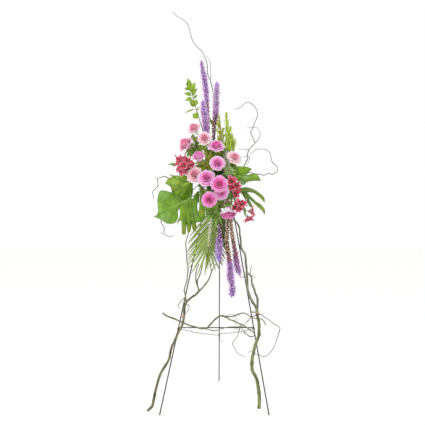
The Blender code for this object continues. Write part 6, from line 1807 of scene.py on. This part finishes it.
# gap to the plane of the front legs, dark and lit bark, and limbs: radius at start and end, and spots, where a
# third value is how much further in front one is
branches = {
    "branch_left": (0.012, "#444030", "#8C8760", [
        (0.0066, 0.0054, [(147.4, 410.9), (150.4, 408), (152.2, 406), (153.5, 401.2), (154.8, 393.6),
         (156.8, 385.9), (159.4, 376.7), (161.9, 371.1), (166, 364.5), (169.1, 358.9), (170.1, 353.8),
         (172.1, 346.1), (175.2, 340), (177.3, 334.6), (179.6, 330.2), (181.5, 326.7), (182.9, 322.9),
         (183.7, 318), (184.2, 310.7), (185, 305.9), (186, 302.4), (188.5, 299.9), (192.6, 296.7),
         (196.1, 294.5), (199.7, 290)]),
        (0.004, 0.002, [(199, 291.4), (197.7, 286.2), (196.5, 283), (195.8, 277.6), (196.1, 271.9),
         (197.1, 268.1), (199, 263.6)]),
        (0.0036, 0.0018, [(197.2, 285.4), (197.4, 280.4), (199.7, 275.1), (201.3, 270.3), (202.5, 264.9),
         (203.8, 259.1)]),
        (0.0042, 0.0022, [(198.6, 291.2), (202.2, 288.2), (205.1, 284.6), (208.3, 280.2), (210.2, 276),
         (211.8, 271.3), (213.7, 267.1), (216.2, 263.9)]),
        (0.0022, 0.0014, [(211.6, 271.6), (210.8, 266.6), (213, 262), (216, 257.2)]),
        (0.0031, 0.0024, [(186.2, 303.4), (185.3, 295), (184.3, 290), (186.6, 281.5), (187.2, 276.7),
         (187.9, 271.9), (187.9, 267.1), (186.9, 260.7), (186.6, 252.8), (185.9, 246.4), (186, 241.5),
         (187.6, 236), (188.6, 231.6)]),
        (0.0024, 0.0012, [(185.4, 297.6), (182.7, 299.2), (179.6, 302.8), (178.4, 305.3), (179.6, 309.1)]),
        (0.0024, 0.0012, [(184.8, 303.5), (188.5, 305), (188.8, 308.5), (186.6, 312.6), (185, 314.6)])]),
    "branch_right": (0.015, "#484C36", "#9CA284", [
        (0.0086, 0.007, [(259.1, 408.6), (259.3, 401.2), (259.1, 395.1), (258.1, 386.9), (256.8, 379.4),
         (255, 375.2), (252.6, 371), (251.9, 365.5), (252.4, 357.9), (253.5, 351.7), (255, 346.1), (257, 340),
         (258.9, 334.6), (259.2, 328.3), (258.8, 321.9), (257.6, 316.1), (257, 312), (256.7, 307.4)]),
        (0.0062, 0.0042, [(257, 310), (257.5, 304.6), (257.6, 299.6), (256.6, 296), (254.8, 291.9),
         (254.3, 289.1), (252.7, 285.6), (251.8, 281.8), (251.8, 278.3), (250.4, 275.6), (248.2, 273.4)]),
        (0.0064, 0.004, [(256.8, 309), (254.3, 304.3), (251.9, 300.8), (250, 297), (248.7, 293.2), (247.8, 290),
         (247.3, 283), (247, 276.7), (246.7, 270.3), (246, 263.9), (245.7, 257.9), (244.8, 253.7),
         (242.2, 250.2), (240.9, 246.4), (240.7, 239.6), (239.8, 234.9), (239.5, 228.6), (237.5, 223.7),
         (235, 221.1), (232.8, 218.6)]),
        (0.0022, 0.0012, [(249.8, 275.6), (250.2, 272.6), (250.8, 268.7), (251.8, 265.2)]),
        (0.0024, 0.0012, [(247.7, 277.2), (243.5, 277), (240.9, 277.3), (239, 274.8)]),
        (0.0022, 0.0012, [(251.2, 276), (252.9, 275.6), (255.6, 277.6)])]),
    "branch_cross": (0.0228, "#46442E", "#8E8C60", [
        (0.004, 0.0042, [(162.5, 312.8), (167.1, 316.1), (174.1, 318.7), (178.3, 320.6), (185.6, 323.8),
         (189.4, 325.4), (193.3, 326.4), (196.5, 327.3), (201.2, 328.5), (205.4, 328.2), (207.8, 327.2),
         (210.3, 324.6), (214.1, 320.4), (217.3, 317.5), (220.5, 315.9), (223.7, 315.8)]),
        (0.0034, 0.0024, [(222.2, 316), (226.9, 317.9), (231, 320.1), (233.9, 320.6), (237.4, 322.8),
         (241.2, 324.2), (245, 326.1), (249.3, 329.5), (252.2, 331.5), (254.4, 333.2), (254.2, 335.6),
         (251.6, 336.8), (248.4, 335.7), (246.2, 333.7), (243.6, 331.8, 0.006)]),
        (0.0034, 0.0022, [(222.4, 315.8), (228.8, 316.6), (233.3, 316.3), (236.5, 315), (239.6, 313.8),
         (242.8, 313), (245.5, 313.4), (248.2, 315, 0.002), (251.5, 317.2, 0.004), (255.4, 318.6, 0.005),
         (259.5, 318.6, 0.0055), (262.7, 319.9, 0.004), (264.3, 321.9), (265.6, 325.4)]),
        (0.0024, 0.0018, [(204, 328.5), (209.4, 329.6), (212.9, 330.7), (217.3, 330.1), (222.7, 328.4),
         (228.5, 327.1), (233.3, 326.8), (243.6, 327)]),
        (0.0022, 0.0014, [(251.5, 317.2, 0.004), (255.6, 315.6, 0.005), (259.9, 314.4, 0.006),
         (262.6, 315.2, 0.003), (264.3, 317.1), (268.4, 319.4), (273.3, 323.5), (277.2, 325.8), (280, 327.9),
         (279.3, 331.5), (277.4, 337.4), (274.4, 346.1), (271.3, 351.2), (267.2, 355.3, 0.003),
         (262.7, 356.5, 0.007), (256, 353.7, 0.007), (250.6, 351.6, 0.007), (248.4, 352.5, 0.007)]),
        (0.002, 0.0012, [(241, 324.6), (239.4, 329.6), (237.7, 335.7), (235.5, 338.9), (232.5, 343.2),
         (235.1, 349.2), (238, 353.6), (242.2, 355.5), (245.8, 357.1)]),
        (0.0018, 0.001, [(247.6, 314.8, 0.004), (250.4, 316.6, 0.008), (249, 320, 0.008), (246.6, 322.4, 0.007),
         (244.4, 324.4, 0.005)]),
        (0.0012, 0.0007, [(226, 316.4), (229.8, 314.4, 0.004), (234.8, 315, 0.006), (236.6, 319, 0.006),
         (237.8, 323.2, 0.005), (242.6, 326.2, 0.004), (246.2, 327.4, 0.004)]),
        (0.0012, 0.0007, [(232, 320), (236.4, 324.6, 0.005), (240.8, 327, 0.005), (243.2, 330.4, 0.006),
         (240.9, 333, 0.006), (243.8, 334, 0.006), (246.2, 331.4, 0.005)]),
        (0.0011, 0.0007, [(239.8, 323.6), (244.8, 324.2, 0.005), (247.4, 320.8, 0.007), (251.6, 317.8, 0.009),
         (256, 314.2, 0.01)]),
        (0.0011, 0.0007, [(233, 326.8), (237.6, 329.6, 0.004), (241.6, 329.2, 0.005), (245.6, 332.6, 0.004)])]),
}


def makeBranches():
    for name, (gap, dark, lit, limbs) in branches.items():
        parts = []
        for start, end, spots in limbs:
            path = smoothPath(inFront(gap, spots), limb["spacing"])
            radii = start + (end - start) * np.linspace(0.0, 1.0, len(path))
            tints = (dark, lit) if start > limb["young"] else limb["youngTints"]
            tints = limb["trunkTints"] if start > limb["trunk"] else tints
            sides, rough = (18, 0.13) if start > limb["round"] else (10, 0.09)
            parts.append(barkTube(path, radii, sides, *tints, rough, limb["knots"]))
            if start > limb["sawn"]:
                away = unit(path[0] - path[1])
                disc = path[0] + np.linspace(-0.001, 0.0006, 4)[:, None] * away
                parts.append(tubes(disc, start * np.array((0.86, 0.86, 0.84, 0.7)), 18, limb["wood"]))
        makePiece(name + "_bark", parts, [barkSkin], name)


makeBranches()
print("willow made")


# Raffia ties round the upright branches and the legs

raffia = {
    # leg, spot on the branch, the branch's gap to the legs and its radius there
    "ties": {
        "raffia_tie_left": (leftLeg, (183.6, 317.0), 0.012, 0.0058),
        "raffia_tie_right": (rightLeg, (257.2, 312.4), 0.015, 0.0073),
    },
    "radius": 0.0011,
    "strands": 5,
    "apart": 0.0018,
    "tints": ("#AC967A", "#DCCCB4"),
    "knot": 0.0030,
    "knotTint": "#C9AF78",
    "endTint": "#D2BC86",
    "ends": ((0.006, -0.018), (-0.004, -0.024)),  # how far aside and how far up each end reaches
}


def makeTies():
    dark, lit = (linear(code) for code in raffia["tints"])
    flat = 1 + 0.35 * np.cos(2 * np.linspace(0, 2 * np.pi, 8, endpoint=False))
    for name, (leg, spot, gap, branchRadius) in raffia["ties"].items():
        middle = inFront(gap, [spot])[0]
        post = leg(middle[2])
        away = unit(middle - post)
        along = unit(leg(1.0) - leg(0.0))
        side = unit(np.cross(along, away))
        parts = []
        for strand in range(raffia["strands"]):
            slack = (raffia["radius"] + easel["gap"]) * 1.1 + rng.uniform(-0.0002, 0.0006)
            height = (strand - (raffia["strands"] - 1) / 2) * raffia["apart"]
            arcs = []
            for centre, radius, start in ((middle, branchRadius * 1.12, -90), (post, easel["wire"], 90)):
                turn = np.radians(start + np.linspace(0, 180, 19))[:, None]
                arcs.append(centre + (away * np.cos(turn) + side * np.sin(turn)) * (radius * 1.06 + slack))
            loop = np.concatenate(arcs + [arcs[0][:2]])
            tilt = np.sin(np.linspace(0, 2 * np.pi, len(loop)) + strand)[:, None] * 0.0012
            loop = smoothPath(loop + along * (height + tilt), 0.0018)
            tint = mixTint(dark, lit, rng.random())
            wobble = np.broadcast_to(flat, (1, len(loop), 8))
            parts.append(tubes(loop, raffia["radius"] * 0.8, 8, tint, 0, wobble))
        # a knot on the outer side with two short ends
        knot = middle + away * branchRadius * 0.9 + side * branchRadius * 0.7
        blob = knot + np.linspace(-0.004, 0.004, 9)[:, None] * along
        bulge = raffia["knot"] * np.sqrt(np.clip(1.02 - np.linspace(-1, 1, 9) ** 2, 0, 1))
        parts.append(tubes(blob, bulge, 10, raffia["knotTint"]))
        for aside, rise in raffia["ends"]:
            end = knot + side * aside + np.array((0.0, -0.004, rise))
            path = bezier(knot, np.array((0.0, -0.006, 0.0)), end, up * -0.006, 10)
            parts.append(tubes(path, np.linspace(0.0009, 0.0006, 10), 6, raffia["endTint"]))
        makePiece(name + "_wraps", parts, [fibreSkin], name)


makeTies()
print("raffia made")


# Foam and tray

def makeFoam():
    # A rounded block: a grid on each face of a cube, held back from the edges by the ease, moved out round them
    # and crumbled by a product of three sines.
    half = foam["size"] / 2
    flat = half - foam["ease"]
    steps = 29
    a, b = np.meshgrid(np.linspace(-1, 1, steps), np.linspace(-1, 1, steps), indexing="ij")
    cube = np.zeros((6, steps, steps, 3))
    for index in range(6):
        axis, way = index // 2, (-1.0, 1.0)[index % 2]
        cube[index, ..., axis] = way
        cube[index, ..., (axis + 1) % 3] = a * way
        cube[index, ..., (axis + 2) % 3] = b
    edge = np.clip(np.abs(cube) * half - flat, 0.0, None) * np.sign(cube)
    points = np.clip(cube * half, -flat, flat) + unit(edge) * 0.0057
    x, y, z = points[..., :1], points[..., 1:2], points[..., 2:]
    crumble = 0.0006 * np.sin(x * 900) * np.sin(y * 1100) * np.sin(z * 800)
    points = points * (1 - 0.004) + points * crumble * 6
    faces = repeated(gridFaces(steps, steps), 6, steps * steps)
    made = part(inFoam(points), [faces[:, ::-1]], spread(linear(foam["tint"]), points.shape[:-1]), points)
    makePiece("foam_block_wet", [made], [foamSkin], "foam_block")


makeFoam()
bpy.data.objects["foam_tray"].material_slots[0].material = plastic
print("foam made")
